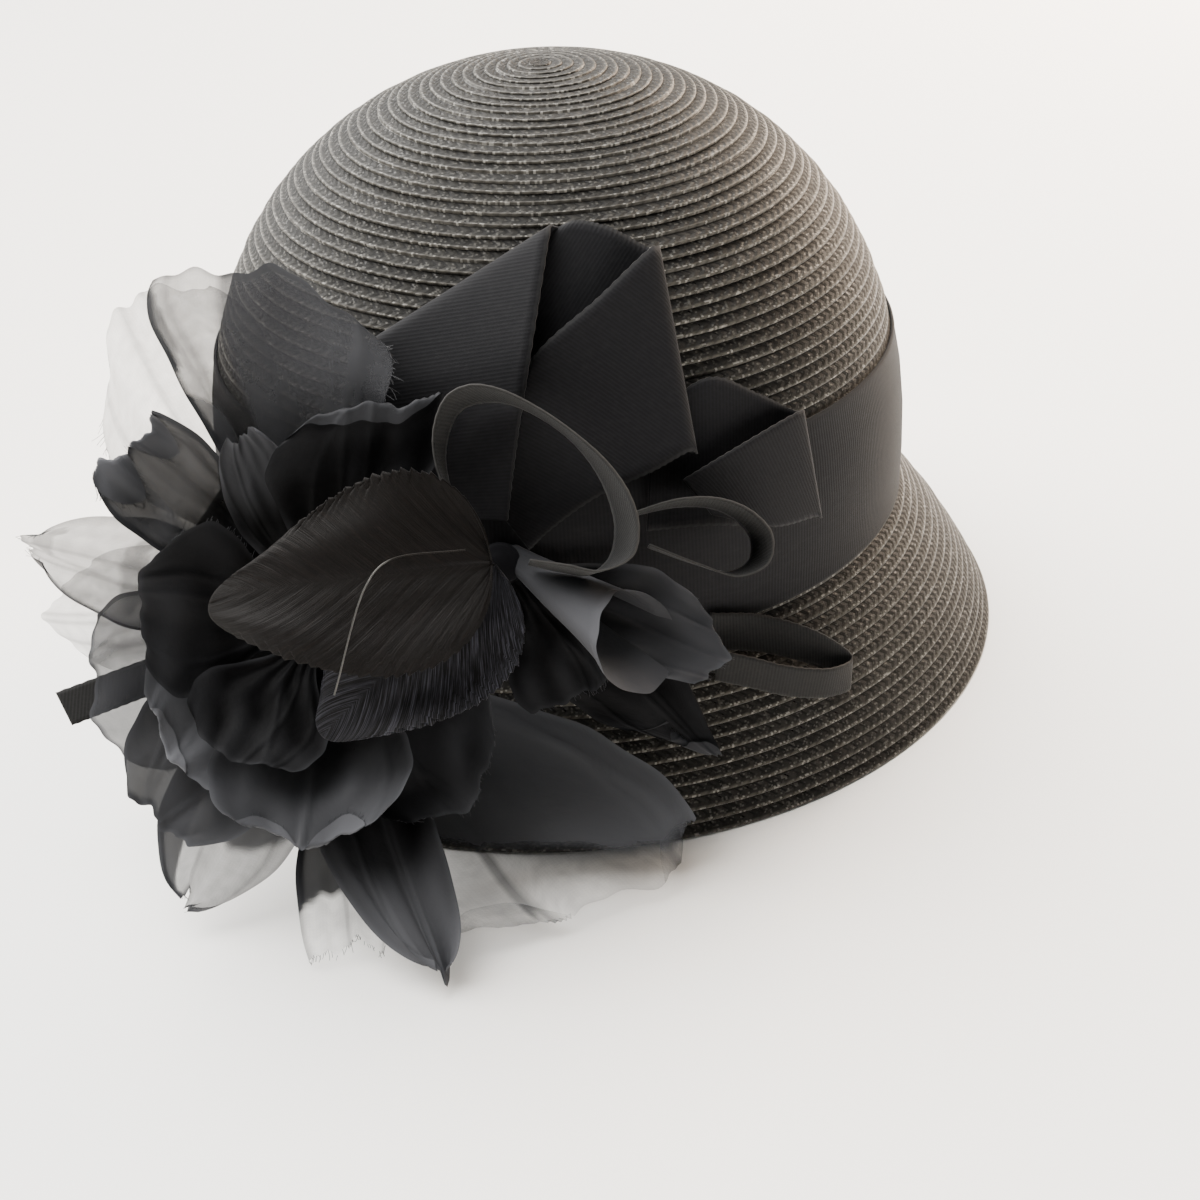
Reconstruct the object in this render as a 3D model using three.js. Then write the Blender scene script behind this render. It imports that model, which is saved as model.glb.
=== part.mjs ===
// Straw cloche hat with a ribbon bow and a large organza flower. Millimetres, +Z up.
// The origin is the middle of the oval opening, in the plane of the brim's lower edge.
import * as THREE from 'three';
import { mergeVertices } from 'three/addons/utils/BufferGeometryUtils.js';

// Hat: half lengths run along X, and half widths along Y are OVAL times as long.
const OVAL = 0.867;
const HEAD_HALF_LENGTH = 99.5;
const RIM_HALF_LENGTH = 131.7;
const HEADLINE_Z = 45.8;
const CROWN_HEIGHT = 123.2;
const CROWN_ROUNDNESS = 0.8;
const BRIM_FLARE = 2.1;
const BRIM_NECK = 2.7;
const STRAW_WALL = 2.0;
const SEWN_GAP = 0.3;
const HAT_SEGMENTS = 52;

// Ribbons, organza and leaves.
const BAND_HEIGHT = 50;
const BAND_FOOT = 0.4;
const BAND_GAP = 0.4;
const RIBBON_WALL = 1.0;
const ORGANZA_WALL = 1.0;
const LEAF_WALL = 1.0;
const WIRE_DIAMETER = 1.0;

// Trim: a frame on the side of the hat, x to the right, y up the side and z straight out of it.
const TRIM_AZIMUTH = -93;
const TRIM_TILT = 36;
const TRIM_PLACE = new THREE.Vector3(-30, -82, 68);

// Posts that petals, leaves and ribbon ends are bound to: centre, radius, foot and top.
const POSTS = {
  flower: { name: 'flower_stem', x: -32, y: -12, radius: 6, foot: -11.5, top: 15 },
  knot: { name: 'bow_knot', x: 15, y: 3, radius: 5, foot: 8.5, top: 42 },
};
const POST_SIDES = 12;

// Petals: direction and reach from the post, width, height above the frame at base, middle and
// tip, rise across the petal, sideways bow, cupping half angle, tip shape, slant and widest place.
const PETAL_COLUMNS = ['name', 'post', 'angle', 'reach', 'width', 'base', 'middle', 'tip',
  'lean', 'bow', 'cup', 'blunt', 'round', 'slant', 'widest'];
const PETALS = table(PETAL_COLUMNS, [
  ['petal_back_upper', 'flower', 119, 93, 50, -9, 1, 5, -6, 0, 8, 0.8, 0.12, -0.06, 0.85],
  ['petal_upright', 'flower', 95, 85, 60, -5, 18, 26, -8, 0, 6, 0.95, 0.1, 0.16, 0.95],
  ['petal_curled', 'flower', 133, 63, 30, -2, 10, 20, 0, 0, 30, 0.75, 0.05, 0, 0.8],
  ['petal_left', 'flower', 161, 76, 27, -7, 0, 6, 0, 2, 20, 0.3, 0.05, 0, 0.6],
  ['petal_left_back', 'flower', 174, 72, 34, -11, -9, -6, 0, 0, 8, 0.7, 0.15, 0, 0.7],
  ['petal_lower_left', 'flower', 196, 59, 46, -3.2, 5, 9, 0, 0, 8, 0.85, 0.14, 0, 0.7],
  ['petal_low', 'flower', 229, 62, 40, -1.4, 9, 14, 0, 0, 8, 0.6, 0.1, 0, 0.7],
  ['petal_pointed', 'flower', 245, 75, 34, -5, 3.6, 9, 0, -3, 8, 0.1, 0, 0, 0.6],
  ['petal_bottom_blunt', 'flower', 276, 79, 26, -7.5, 1, 16, 0, 0, 8, 0.85, 0.03, 0, 0.8],
  ['petal_bottom_point', 'flower', 285, 86, 25, -3, 12, 26, 0, 8, 12, 0.1, 0, 0, 0.6],
  ['petal_bottom_wide', 'flower', 315, 101, 64, -9.5, -5, 6, -10, 0, 6, 0.9, 0.16, 0.14, 0.85],
  ['petal_brim', 'knot', 316, 71, 30, 10, 0, -2, 0, 0, 8, 0.5, 0.1, 0, 0.65],
  ['petal_rolled', 'knot', 322, 44, 36, 20, 20, 24, 0, 0, 120, 0.9, 0.05, 0, 0.8],
  ['petal_lobe', 'knot', 336, 59, 28, 12, 9, 10, 0, 0, 20, 0.6, 0.2, 0, 0.65],
  ['petal_small', 'knot', 297, 40, 26, 14, 12, 10, 0, 0, 15, 0.6, 0.2, 0, 0.65],
  ['petal_bowl_left', 'flower', 224, 45, 46, 3, 10, 20, 0, 0, 10, 0.8, 0.15, 0, 0.7],
  ['petal_bowl_bottom', 'flower', 270, 50, 50, 6.5, 15, 27, 0, 0, 10, 0.8, 0.15, 0, 0.7],
  ['petal_bowl_right', 'flower', 312, 56, 44, 3, 8, 18, 0, 0, 10, 0.75, 0.15, 0, 0.7],
  ['petal_folded', 'flower', 71, 56, 36, 7.5, 24, 33, 0, 0, 8, 0.9, 0.08, -0.2, 0.8],
  ['petal_sliver', 'flower', 106, 49, 20, 3, 14, 26, 0, 0, 12, 0.4, 0.05, 0, 0.6],
  ['petal_inner_left', 'flower', 168, 40, 42, 6.5, 16, 25, 0, 0, 15, 0.75, 0.15, 0, 0.7],
  ['petal_inner_lower', 'flower', 240, 34, 36, 11, 18, 28, 0, 0, 15, 0.75, 0.15, 0, 0.7],
]);
const PETAL_FOOT_HALF = 4;
const LEAST_ROLL = 1e-4;
const PETAL_CELLS = { along: 7, across: 6 };

// Leaves use the petals' columns; their halves also fold up from the midrib.
const LEAVES = table(PETAL_COLUMNS, [
  ['leaf_upper', 'knot', 185, 66, 46, 40.5, 41, 35, 0, 0, 0, 0.1, 0, 0, 0.4],
  ['leaf_lower', 'knot', 223, 58, 42, 34, 33, 30, 0, 0, 0, 0.1, 0, 0, 0.45],
]);
const LEAF_FOLD = 2.5;

// Wide loops: one row per cross line of the folded ribbon, its lower and its upper selvedge.
const STRIP_COLUMNS = ['lowX', 'lowY', 'lowZ', 'highX', 'highY', 'highZ'];
const BOW_LOOP_LARGE = table(STRIP_COLUMNS, [
  [1, 14, 20, 17, 13, 24],
  [-12, 30, 20, 20, 30, 30],
  [-19, 44, 22, 24, 50, 34.5],
  [-20, 52, 23.4, 29, 79.5, 29.6],
  [-20.6, 53.2, 21.7, 28.7, 81, 27.8],
  [-20, 52, 20, 29, 79.5, 26],
  [4, 46, 23.5, 36, 81.5, 28],
  [30, 38, 24, 45, 80, 27.4],
  [61, 28.5, 17, 53, 76, 24.2],
  [62.4, 28, 18.8, 54.4, 76.2, 25.9],
  [61, 28.5, 20.6, 53, 76, 27.6],
  [52, 24, 21.5, 40, 64, 31],
  [38, 18, 21, 24, 50, 31],
  [26, 10, 18, 14, 32, 26],
  [21.5, 6, 15, 11, 20, 19],
]);
const BOW_LOOP_SMALL = table(STRIP_COLUMNS, [
  [50, 10, 10.5, 52, 38, 17.8],
  [64, 11, 8, 66, 46.5, 16.5],
  [80, 11, -1.5, 78, 43, 10],
  [93.5, 13, -11, 88, 39, 4],
  [95, 12.7, -9, 89.4, 39, 5.8],
  [93.5, 13, -7, 88, 38.5, 7.6],
  [82, 10.5, 2, 72, 29.5, 15.5],
  [66, 13.5, 11.5, 59, 22, 17.5],
]);

// Narrow loops: centre line of the ribbon seen from the front, with its back and front edges.
const RING_COLUMNS = ['x', 'y', 'back', 'front'];
const NARROW_LOOP_1 = table(RING_COLUMNS, [
  [9, 9, 29, 37],
  [3, 20, 29, 37],
  [3, 33, 30, 38],
  [10, 40, 33, 42],
  [20, 38, 34, 44],
  [34, 29, 34, 45],
  [44, 16, 33, 45],
  [45, 5, 32, 43],
  [36, 0.5, 30, 41],
  [24, 2, 29, 38],
]);
const NARROW_LOOP_2 = table(RING_COLUMNS, [
  [44, 12, 18.7, 26.7],
  [58, 16.5, 16.7, 26.7],
  [71, 15, 11.7, 22.7],
  [79, 8, 7.7, 18.7],
  [77, 0.5, 6.7, 17.7],
  [66, 1, 10.7, 20.7],
  [50, 6, 16.7, 24.7],
]);
const RING_FLARE = 0.06;

// Loop on the brim and free end: lower and upper edges, as the wide loops.
const NARROW_LOOP_3 = table(STRIP_COLUMNS, [
  [66, -18.5, -14.5, 66, -11, -8.5],
  [80, -19.5, -21, 80, -12, -15],
  [96, -25, -26.5, 96, -17.5, -20.5],
  [104.5, -31, -31, 104.5, -24, -25],
  [98, -34.5, -25, 98, -27, -19],
  [86, -33.5, -18, 86, -26, -12],
  [77, -31, -14.5, 77, -23.5, -8.5],
  [67, -28.5, -12, 67, -21, -6],
]);
const RIBBON_TAIL = table(STRIP_COLUMNS, [
  [-46, -22, -7, -45, -12, -7],
  [-60, -23.5, -6.5, -59, -13.5, -6.5],
  [-76, -28, -4, -75, -18, -4],
  [-97, -35.5, 0, -101, -27, 0],
]);
const STRIP_STEPS = 2;
const SLOPE_STEP = 1e-3;

const LEAF_WIRE = [[9, 6, 45.3], [-8, 4, 46.3], [-13, -1, 46.3], [-21.5, -26, 44.3]];
const WIRE_STEPS = 12;
const WIRE_SIDES = 6;

// Finishes.
const STRAW = finish(0x26241f, 0.55);
const GROSGRAIN = finish(0x1d1d1f, 0.8);
const ORGANZA = finish(0x2c2c33, 0.6);
const LEAF_CLOTH = finish(0x1c1715, 0.6);
const BINDING = finish(0x17171a, 0.85);
const WIRE = finish(0x6f6d68, 0.4, 0.7);

function finish(color, roughness, metalness = 0) {
  return new THREE.MeshStandardMaterial({ color, roughness, metalness });
}

function table(columns, rows) {
  return rows.map((row) => Object.fromEntries(columns.map((column, i) => [column, row[i]])));
}

function solid(name, geometry, material) {
  geometry.deleteAttribute('normal');
  geometry.deleteAttribute('uv');
  const mesh = new THREE.Mesh(mergeVertices(geometry), material.clone());
  mesh.name = name;
  return mesh;
}

// Crown outline at an angle: 0 at the headline, a quarter turn at the tip.
function crownPoint(angle) {
  const rise = Math.pow(Math.sin(angle), CROWN_ROUNDNESS);
  return new THREE.Vector2(HEAD_HALF_LENGTH * Math.cos(angle), HEADLINE_Z + CROWN_HEIGHT * rise);
}

function crownAngle(z) {
  return Math.asin(Math.pow((z - HEADLINE_Z) / CROWN_HEIGHT, 1 / CROWN_ROUNDNESS));
}

// Brim outline: 0 at the headline, 1 at the rim.
function brimPoint(share) {
  const spread = (RIM_HALF_LENGTH - HEAD_HALF_LENGTH) * share;
  const bell = BRIM_FLARE * Math.sin(Math.PI * share);
  return new THREE.Vector2(HEAD_HALF_LENGTH + spread + bell, HEADLINE_Z * (1 - share));
}

// Points of an outline moved inwards, square to it, by a distance.
function inset(points, distance) {
  return points.map((point, i) => {
    const before = points[Math.max(i - 1, 0)];
    const after = points[Math.min(i + 1, points.length - 1)];
    const along = after.clone().sub(before).normalize();
    return new THREE.Vector2(point.x - along.y * distance, point.y + along.x * distance);
  });
}

// Oval shell from a closed outline turned about Z.
function ovalShell(outline) {
  const shell = new THREE.LatheGeometry(outline, HAT_SEGMENTS);
  shell.rotateX(Math.PI / 2);
  shell.scale(1, OVAL, 1);
  return shell;
}

function makeCrown() {
  const rings = 11;
  const foot = crownAngle(HEADLINE_Z + BRIM_NECK + SEWN_GAP);
  const outer = [];
  for (let i = 0; i <= rings; i += 1) {
    outer.push(crownPoint(foot + (Math.PI / 2 - foot) * (i / rings)));
  }
  outer[rings].x = 0;
  const inner = inset(outer, STRAW_WALL);
  inner[0].y = outer[0].y;
  inner[rings].set(0, outer[rings].y - STRAW_WALL);
  return solid('crown', ovalShell([...inner.reverse(), ...outer]), STRAW);
}

function makeBrim() {
  const rings = 5;
  const outer = [];
  for (let i = 0; i <= rings; i += 1) {
    outer.push(brimPoint(1 - i / rings));
  }
  outer.push(crownPoint(crownAngle(HEADLINE_Z + BRIM_NECK)));
  const inner = inset(outer, STRAW_WALL);
  inner[0].y = 0;
  inner[rings + 1].y = outer[rings + 1].y;
  const outline = [...outer, ...inner.reverse()];
  outline.push(outline[0].clone());
  return solid('brim', ovalShell(outline), STRAW);
}

function makeBand() {
  const rings = 4;
  const crown = [];
  for (let i = 0; i <= rings; i += 1) {
    crown.push(crownPoint(crownAngle(HEADLINE_Z + BAND_FOOT + BAND_HEIGHT * (i / rings))));
  }
  const inner = inset(crown, -BAND_GAP);
  const outer = inset(crown, -BAND_GAP - RIBBON_WALL);
  const outline = [...outer, ...inner.reverse()];
  outline.push(outline[0].clone());
  return solid('hat_band', ovalShell(outline), GROSGRAIN);
}

// Thin closed solid round a surface of s from 0 to 1 along it and t from -1 to 1 across it.
function sheetGeometry(surface, along, across, wall) {
  const normalAt = (s, t) => {
    const before = Math.max(s - SLOPE_STEP, 0);
    const after = Math.min(s + SLOPE_STEP, 1);
    const runAlong = surface(after, t).sub(surface(before, t));
    const right = Math.min(t + SLOPE_STEP, 1);
    const left = Math.max(t - SLOPE_STEP, -1);
    const runAcross = surface(s, right).sub(surface(s, left));
    return runAlong.cross(runAcross).normalize();
  };
  const sections = [];
  for (let i = 0; i <= along; i += 1) {
    const front = [];
    const back = [];
    for (let j = 0; j <= across; j += 1) {
      const s = i / along;
      const t = 1 - 2 * (j / across);
      const half = normalAt(s, t).multiplyScalar(wall / 2);
      front.push(surface(s, t).add(half));
      back.unshift(surface(s, t).sub(half));
    }
    sections.push([...front, ...back]);
  }
  return skinGeometry(sections);
}

// Closed skin over flat rings of points, whose two ends are zipped shut across each ring.
function skinGeometry(rings) {
  const size = rings[0].length;
  const faces = [];
  const quad = (a, b, c, d) => faces.push(a, b, c, a, c, d);
  for (let i = 0; i < rings.length - 1; i += 1) {
    for (let j = 0; j < size; j += 1) {
      const next = (j + 1) % size;
      quad(i * size + j, i * size + next, (i + 1) * size + next, (i + 1) * size + j);
    }
  }
  const last = (rings.length - 1) * size;
  for (let j = 0; j < size / 2 - 1; j += 1) {
    quad(j, size - 1 - j, size - 2 - j, j + 1);
    quad(last + j, last + j + 1, last + size - 2 - j, last + size - 1 - j);
  }
  const skin = new THREE.BufferGeometry().setFromPoints(rings.flat());
  skin.setIndex(faces);
  return skin;
}

// Height along a piece that passes through its base, middle and tip values.
function archHeight(row, s) {
  const sag = row.middle - (row.base + row.tip) / 2;
  return THREE.MathUtils.lerp(row.base, row.tip, s) + 4 * sag * s * (1 - s);
}

// Half width along a petal: narrow at its foot, full at its widest place, closing to its tip.
function petalHalfWidth(row, s) {
  const opening = THREE.MathUtils.smoothstep(s, 0, row.widest);
  const full = THREE.MathUtils.lerp(PETAL_FOOT_HALF, row.width / 2, opening);
  const past = Math.max(0, (s - row.widest) / (1 - row.widest));
  return full * Math.sqrt(1 - (1 - row.blunt * row.blunt) * past * past);
}

// Point of a petal or leaf in the trim frame.
function petalPoint(row, s, t, fold = 0) {
  const post = POSTS[row.post];
  const angle = THREE.MathUtils.degToRad(row.angle);
  const start = post.radius + SEWN_GAP;
  const half = petalHalfWidth(row, s);
  const roll = THREE.MathUtils.degToRad(row.cup) * s + LEAST_ROLL;
  const sideways = half * Math.sin(roll * t) / roll + row.bow * s * s;
  const edgeRise = half * (1 - Math.cos(roll * t)) / roll;
  const outward = start + (row.reach - start) * s * (1 - row.round * t * t + row.slant * t);
  const foldRise = fold * Math.abs(t) * Math.sin(Math.PI * s);
  const lift = archHeight(row, s) + row.lean * t * s + edgeRise + foldRise;
  return new THREE.Vector3(
    post.x + Math.cos(angle) * outward - Math.sin(angle) * sideways,
    post.y + Math.sin(angle) * outward + Math.cos(angle) * sideways,
    lift,
  );
}

function makePetal(row) {
  const surface = (s, t) => petalPoint(row, s, t);
  const { along, across } = PETAL_CELLS;
  return solid(row.name, sheetGeometry(surface, along, across, ORGANZA_WALL), ORGANZA);
}

function makeLeaf(row) {
  const surface = (s, t) => petalPoint(row, s, t, LEAF_FOLD);
  const { along, across } = PETAL_CELLS;
  return solid(row.name, sheetGeometry(surface, along, across, LEAF_WALL), LEAF_CLOTH);
}

// Ribbon between two edge curves, which pass through the ends of its cross lines.
function makeStrip(name, lowPoints, highPoints) {
  const low = new THREE.CatmullRomCurve3(lowPoints, false, 'centripetal');
  const high = new THREE.CatmullRomCurve3(highPoints, false, 'centripetal');
  const surface = (s, t) => low.getPoint(s).lerp(high.getPoint(s), (t + 1) / 2);
  const along = (lowPoints.length - 1) * STRIP_STEPS;
  return solid(name, sheetGeometry(surface, along, 2, RIBBON_WALL), GROSGRAIN);
}

function makeFoldedRibbon(name, rows) {
  const low = rows.map((row) => new THREE.Vector3(row.lowX, row.lowY, row.lowZ));
  const high = rows.map((row) => new THREE.Vector3(row.highX, row.highY, row.highZ));
  return makeStrip(name, low, high);
}

function makeRingRibbon(name, rows) {
  const middle = new THREE.Vector2();
  rows.forEach((row) => middle.add(new THREE.Vector2(row.x, row.y).divideScalar(rows.length)));
  const edge = (row, height, spread) => new THREE.Vector3(
    middle.x + (row.x - middle.x) * spread,
    middle.y + (row.y - middle.y) * spread,
    height,
  );
  const back = rows.map((row) => edge(row, row.back, 1 - RING_FLARE));
  const front = rows.map((row) => edge(row, row.front, 1 + RING_FLARE));
  return makeStrip(name, back, front);
}

function makePost(post) {
  const height = post.top - post.foot;
  const shape = new THREE.CylinderGeometry(post.radius, post.radius, height, POST_SIDES);
  shape.rotateX(Math.PI / 2);
  shape.translate(post.x, post.y, (post.top + post.foot) / 2);
  return solid(post.name, shape, BINDING);
}

function makeLeafWire() {
  const path = new THREE.CatmullRomCurve3(LEAF_WIRE.map((place) => new THREE.Vector3(...place)));
  const section = new THREE.Shape();
  section.absarc(0, 0, WIRE_DIAMETER / 2, 0, Math.PI * 2);
  const shape = new THREE.ExtrudeGeometry(section, {
    steps: WIRE_STEPS, extrudePath: path, curveSegments: WIRE_SIDES, bevelEnabled: false,
  });
  return solid('leaf_stem', shape, WIRE);
}

function makeTrim() {
  const trim = new THREE.Group();
  const turn = THREE.MathUtils.degToRad(TRIM_AZIMUTH + 90);
  trim.position.copy(TRIM_PLACE);
  trim.rotation.set(THREE.MathUtils.degToRad(90 - TRIM_TILT), 0, turn, 'ZXY');
  Object.values(POSTS).forEach((post) => trim.add(makePost(post)));
  trim.add(makeFoldedRibbon('bow_loop_large', BOW_LOOP_LARGE));
  trim.add(makeFoldedRibbon('bow_loop_small', BOW_LOOP_SMALL));
  trim.add(makeRingRibbon('narrow_loop_1', NARROW_LOOP_1));
  trim.add(makeRingRibbon('narrow_loop_2', NARROW_LOOP_2));
  trim.add(makeFoldedRibbon('narrow_loop_3', NARROW_LOOP_3));
  trim.add(makeFoldedRibbon('ribbon_tail', RIBBON_TAIL));
  PETALS.forEach((row) => trim.add(makePetal(row)));
  LEAVES.forEach((row) => trim.add(makeLeaf(row)));
  trim.add(makeLeafWire());
  return trim;
}

const hat = new THREE.Group();
hat.add(makeCrown(), makeBrim(), makeBand(), makeTrim());

export default hat;
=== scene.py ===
# %% [markdown]
# A black straw cloche: sewn braid crown and brim, a ribbed ribbon band with a bow, and a big sheer
# organza flower. The CAD solids give every piece its place. Here each one is made again with the
# rows, ribs, ruffles and veins of the real thing, in metres and in the same frame as the solids.

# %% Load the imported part
import math
from functools import partial

import bpy
import numpy as np
from mathutils import Matrix, Vector


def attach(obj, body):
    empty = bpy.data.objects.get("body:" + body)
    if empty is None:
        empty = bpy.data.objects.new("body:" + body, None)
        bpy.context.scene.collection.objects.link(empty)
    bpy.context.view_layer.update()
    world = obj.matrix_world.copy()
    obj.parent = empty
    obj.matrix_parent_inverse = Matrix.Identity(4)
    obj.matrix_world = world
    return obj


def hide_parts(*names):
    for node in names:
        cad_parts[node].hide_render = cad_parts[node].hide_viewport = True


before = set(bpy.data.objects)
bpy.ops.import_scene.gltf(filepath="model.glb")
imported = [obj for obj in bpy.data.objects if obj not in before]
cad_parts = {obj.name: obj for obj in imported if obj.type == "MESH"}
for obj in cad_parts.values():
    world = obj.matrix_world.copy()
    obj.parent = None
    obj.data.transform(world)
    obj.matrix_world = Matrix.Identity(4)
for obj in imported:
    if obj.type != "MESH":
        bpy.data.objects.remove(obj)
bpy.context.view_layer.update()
MM = 0.001
FULL_TURN = 2 * math.pi

# %% [markdown]
# The camera looks down on the flower's side of the hat from about forty degrees up. A camera can be
# aimed with a constraint, but this one also leans a little, so its three axes are given directly.

# %% Camera
EYE_MM = (0.0, -409.33, 305.13)
SIGHT = Vector((0.01897, 0.79792, -0.60246))
UPRIGHT = Vector((0.05527, 0.60081, 0.79748))
SENSOR_MM = 36.0
FOCAL_PIXELS, PICTURE_PIXELS = 1598.88, 1200
NEAREST_SEEN = 0.01

camera_data = bpy.data.cameras.new("camera")
camera_data.sensor_width = SENSOR_MM
camera_data.lens = SENSOR_MM * (FOCAL_PIXELS / PICTURE_PIXELS)
camera_data.clip_start = NEAREST_SEEN
camera = bpy.data.objects.new("camera", camera_data)
bpy.context.scene.collection.objects.link(camera)
axes = Matrix((SIGHT.cross(UPRIGHT), UPRIGHT, -SIGHT)).transposed()
camera.matrix_world = Matrix.Translation(Vector(EYE_MM) * MM) @ axes.to_4x4()
bpy.context.scene.camera = camera
print("lens in mm:", round(camera_data.lens, 2))

# %% [markdown]
# Colours are written as the sRGB hex values that a paint program shows. Blender's sockets want linear
# values, so one function converts them. Another adds a node: settings are the node's own properties,
# and inputs are either plain values or the sockets of nodes made before it. The shader editor gives
# the same trees by hand; in code they can be read and changed in one place. A new finish hands over
# add_node with its own tree already filled in, so its recipe reads as a list of nodes to add.

# %% Colour and node helpers
def linear(hex_colour):
    """Linear RGBA from a hex colour such as 2b2a28."""
    shares = [int(hex_colour[i:i + 2], 16) / 255 for i in (0, 2, 4)]
    return [x / 12.92 if x <= 0.04045 else ((x + 0.055) / 1.055) ** 2.4 for x in shares] + [1.0]


def fill_sockets(sockets, inputs):
    """Give sockets, found by name or number, a plain value or a link from another node."""
    for key, value in inputs.items():
        socket = sockets[key] if isinstance(key, int) else next(s for s in sockets if s.name == key)
        if isinstance(value, bpy.types.NodeSocket):
            socket.id_data.links.new(value, socket)
        else:
            socket.default_value = value


def add_node(tree, kind, inputs=None, **settings):
    """One node with its settings made and its sockets filled; gives its first live output."""
    made = tree.nodes.new("ShaderNode" + kind)
    for name, value in settings.items():
        setattr(made, name, value)
    fill_sockets([socket for socket in made.inputs if socket.enabled], inputs or {})
    return next(socket for socket in made.outputs if socket.enabled)


def new_finish(name, inputs):
    """A material, add_node for its tree, and its shader; inputs are the same all over the surface."""
    finish = bpy.data.materials.new(name)
    finish.use_nodes = True
    shader = finish.node_tree.nodes["Principled BSDF"]
    fill_sockets(shader.inputs, inputs)
    return finish, partial(add_node, finish.node_tree), shader


print("linear mid grey:", round(linear("808080")[0], 3))

# %% [markdown]
# Soft studio light: a dim even surround, a very broad soft sun from high behind on the left, and a
# large warm panel behind on the right. The near side stays dark, as black cloth against the light
# does, and the straw's edges shine on both sides. A picture of a studio could light the hat too, but
# lamps need no file. A Light Path node lets the camera see the surround as white while it stays dim
# for the hat.

# %% Lights
FILL_LIGHT, SEEN_BACKGROUND = 0.2, 4.0
LAMP_TARGET = Vector((0, 0, 0.08))


def aimed_lamp(name, kind, place, colour, power, **settings):
    """Lamp at a place, aimed at the middle of the hat."""
    data = bpy.data.lights.new(name, kind)
    data.energy = power
    data.color = linear(colour)[:3]
    for setting, value in settings.items():
        setattr(data, setting, value)
    lamp = bpy.data.objects.new(name, data)
    lamp.location = place
    lamp.rotation_mode = "QUATERNION"
    lamp.rotation_quaternion = (LAMP_TARGET - Vector(place)).to_track_quat("-Z", "Y")
    bpy.context.scene.collection.objects.link(lamp)


world = bpy.data.worlds.new("surround")
bpy.context.scene.world = world
world.use_nodes = True
seen = add_node(world.node_tree, "LightPath")
strength = add_node(world.node_tree, "MapRange", {"Value": seen, 3: FILL_LIGHT, 4: SEEN_BACKGROUND})
background = world.node_tree.nodes["Background"]
fill_sockets(background.inputs, {"Color": linear("fffefc"), "Strength": strength})
aimed_lamp("soft_sun", "SUN", (-0.5, 0.52, 1.0), colour="fffdfa", power=15.0, angle=math.radians(80))
aimed_lamp("warm_panel", "AREA", (0.75, 0.75, 0.5), colour="ffe6cc", power=34.0, size=0.8)
print("lights:", [light.name for light in bpy.data.lights])

# %% [markdown]
# The floor is plain pale board. It is one large plane a hair below the brim's edge, because two faces
# at the same height flicker.

# %% Floor
FLOOR_SIZE, FLOOR_Z = 8, -0.0003
MOTTLES_PER_METRE = 3.0

bpy.ops.object.select_all(action="DESELECT")
bpy.ops.mesh.primitive_plane_add(size=FLOOR_SIZE, location=(0, 0, FLOOR_Z))
bpy.ops.object.transform_apply(location=True)
floor = bpy.context.active_object
floor.name = "floor"
pale_board, add, shader = new_finish("pale_floor", {"Roughness": 0.9, "Specular IOR Level": 0.1})
mottle = add("TexNoise", {"Scale": MOTTLES_PER_METRE, "Detail": 2.0})
pale = add("Mix", {"Factor": mottle, "A": linear("fcfbf8"), "B": linear("f8f6f2")}, data_type="RGBA")
fill_sockets(shader.inputs, {"Base Color": pale})
floor.data.materials.append(pale_board)
print("floor in metres:", FLOOR_SIZE)

# %% [markdown]
# Sewn straw braid: flat plaits of a few glossy black strands. Above its smooth lower edge strand, the
# lip, each row shows a line of V-shaped crossings with small dark gaps between them. Modelling every
# strand would take millions of faces, so nodes draw the plait. The pieces carry a UV map whose first
# number counts plaits round a row and whose second counts rows, so the pattern follows the rows.

# %% Plait pattern
SMOOTH_STEP = {"interpolation_type": "SMOOTHSTEP"}
PLAIT_POINT, PLAIT_LEAN = 0.42, 1.3
LIP_FROM, LIP_TO = 0.66, 0.86
GROOVE_SHADE = 0.9


def plait_pattern(add, uv):
    """The plait's sockets: strand height, the lip, painted shade in gaps and grooves, a number per
    crossing.
    """
    plait = add("SeparateXYZ", {"Vector": uv})
    row = plait.node.outputs["Y"]
    across = add("Math", {0: row}, operation="FRACT")
    off_point = add("Math", {0: across, 1: PLAIT_POINT}, operation="SUBTRACT")
    lean = add("Math", {0: off_point}, operation="ABSOLUTE")
    phase = add("Math", {0: lean, 1: PLAIT_LEAN, 2: plait}, operation="MULTIPLY_ADD")
    strand = add("Math", {0: phase, 1: 0.5}, operation="PINGPONG")
    lip = add("MapRange", {"Value": across, 1: LIP_FROM, 2: LIP_TO}, **SMOOTH_STEP)
    # The gaps between crossings and the groove under each lip are painted shade.
    gap_top = add("MapRange", {"Value": across, 1: 0.06, 2: 0.14}, **SMOOTH_STEP)
    gap_foot = add("MapRange", {"Value": across, 1: 0.4, 2: 0.62, 3: 1.0, 4: 0.0}, **SMOOTH_STEP)
    gap_side = add("MapRange", {"Value": strand, 1: 0.06, 2: 0.22, 3: 1.0, 4: 0.0}, **SMOOTH_STEP)
    gap_band = add("Math", {0: gap_top, 1: gap_foot}, operation="MULTIPLY")
    gap = add("Math", {0: gap_band, 1: gap_side}, operation="MULTIPLY")
    groove = add("MapRange", {"Value": across, 1: 0.02, 2: 0.13, 3: GROOVE_SHADE, 4: 0.0}, **SMOOTH_STEP)
    dark = add("Math", {0: gap, 1: groove}, operation="MAXIMUM")
    cell_x = add("Math", {0: phase}, operation="FLOOR")
    cell_y = add("Math", {0: row}, operation="FLOOR")
    cell = add("CombineXYZ", {"X": cell_x, "Y": cell_y})
    chance = add("TexWhiteNoise", {"Vector": cell}, noise_dimensions="2D")
    return strand, lip, dark, chance


print("lip from", LIP_FROM, "to", LIP_TO, "of a row")
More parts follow.
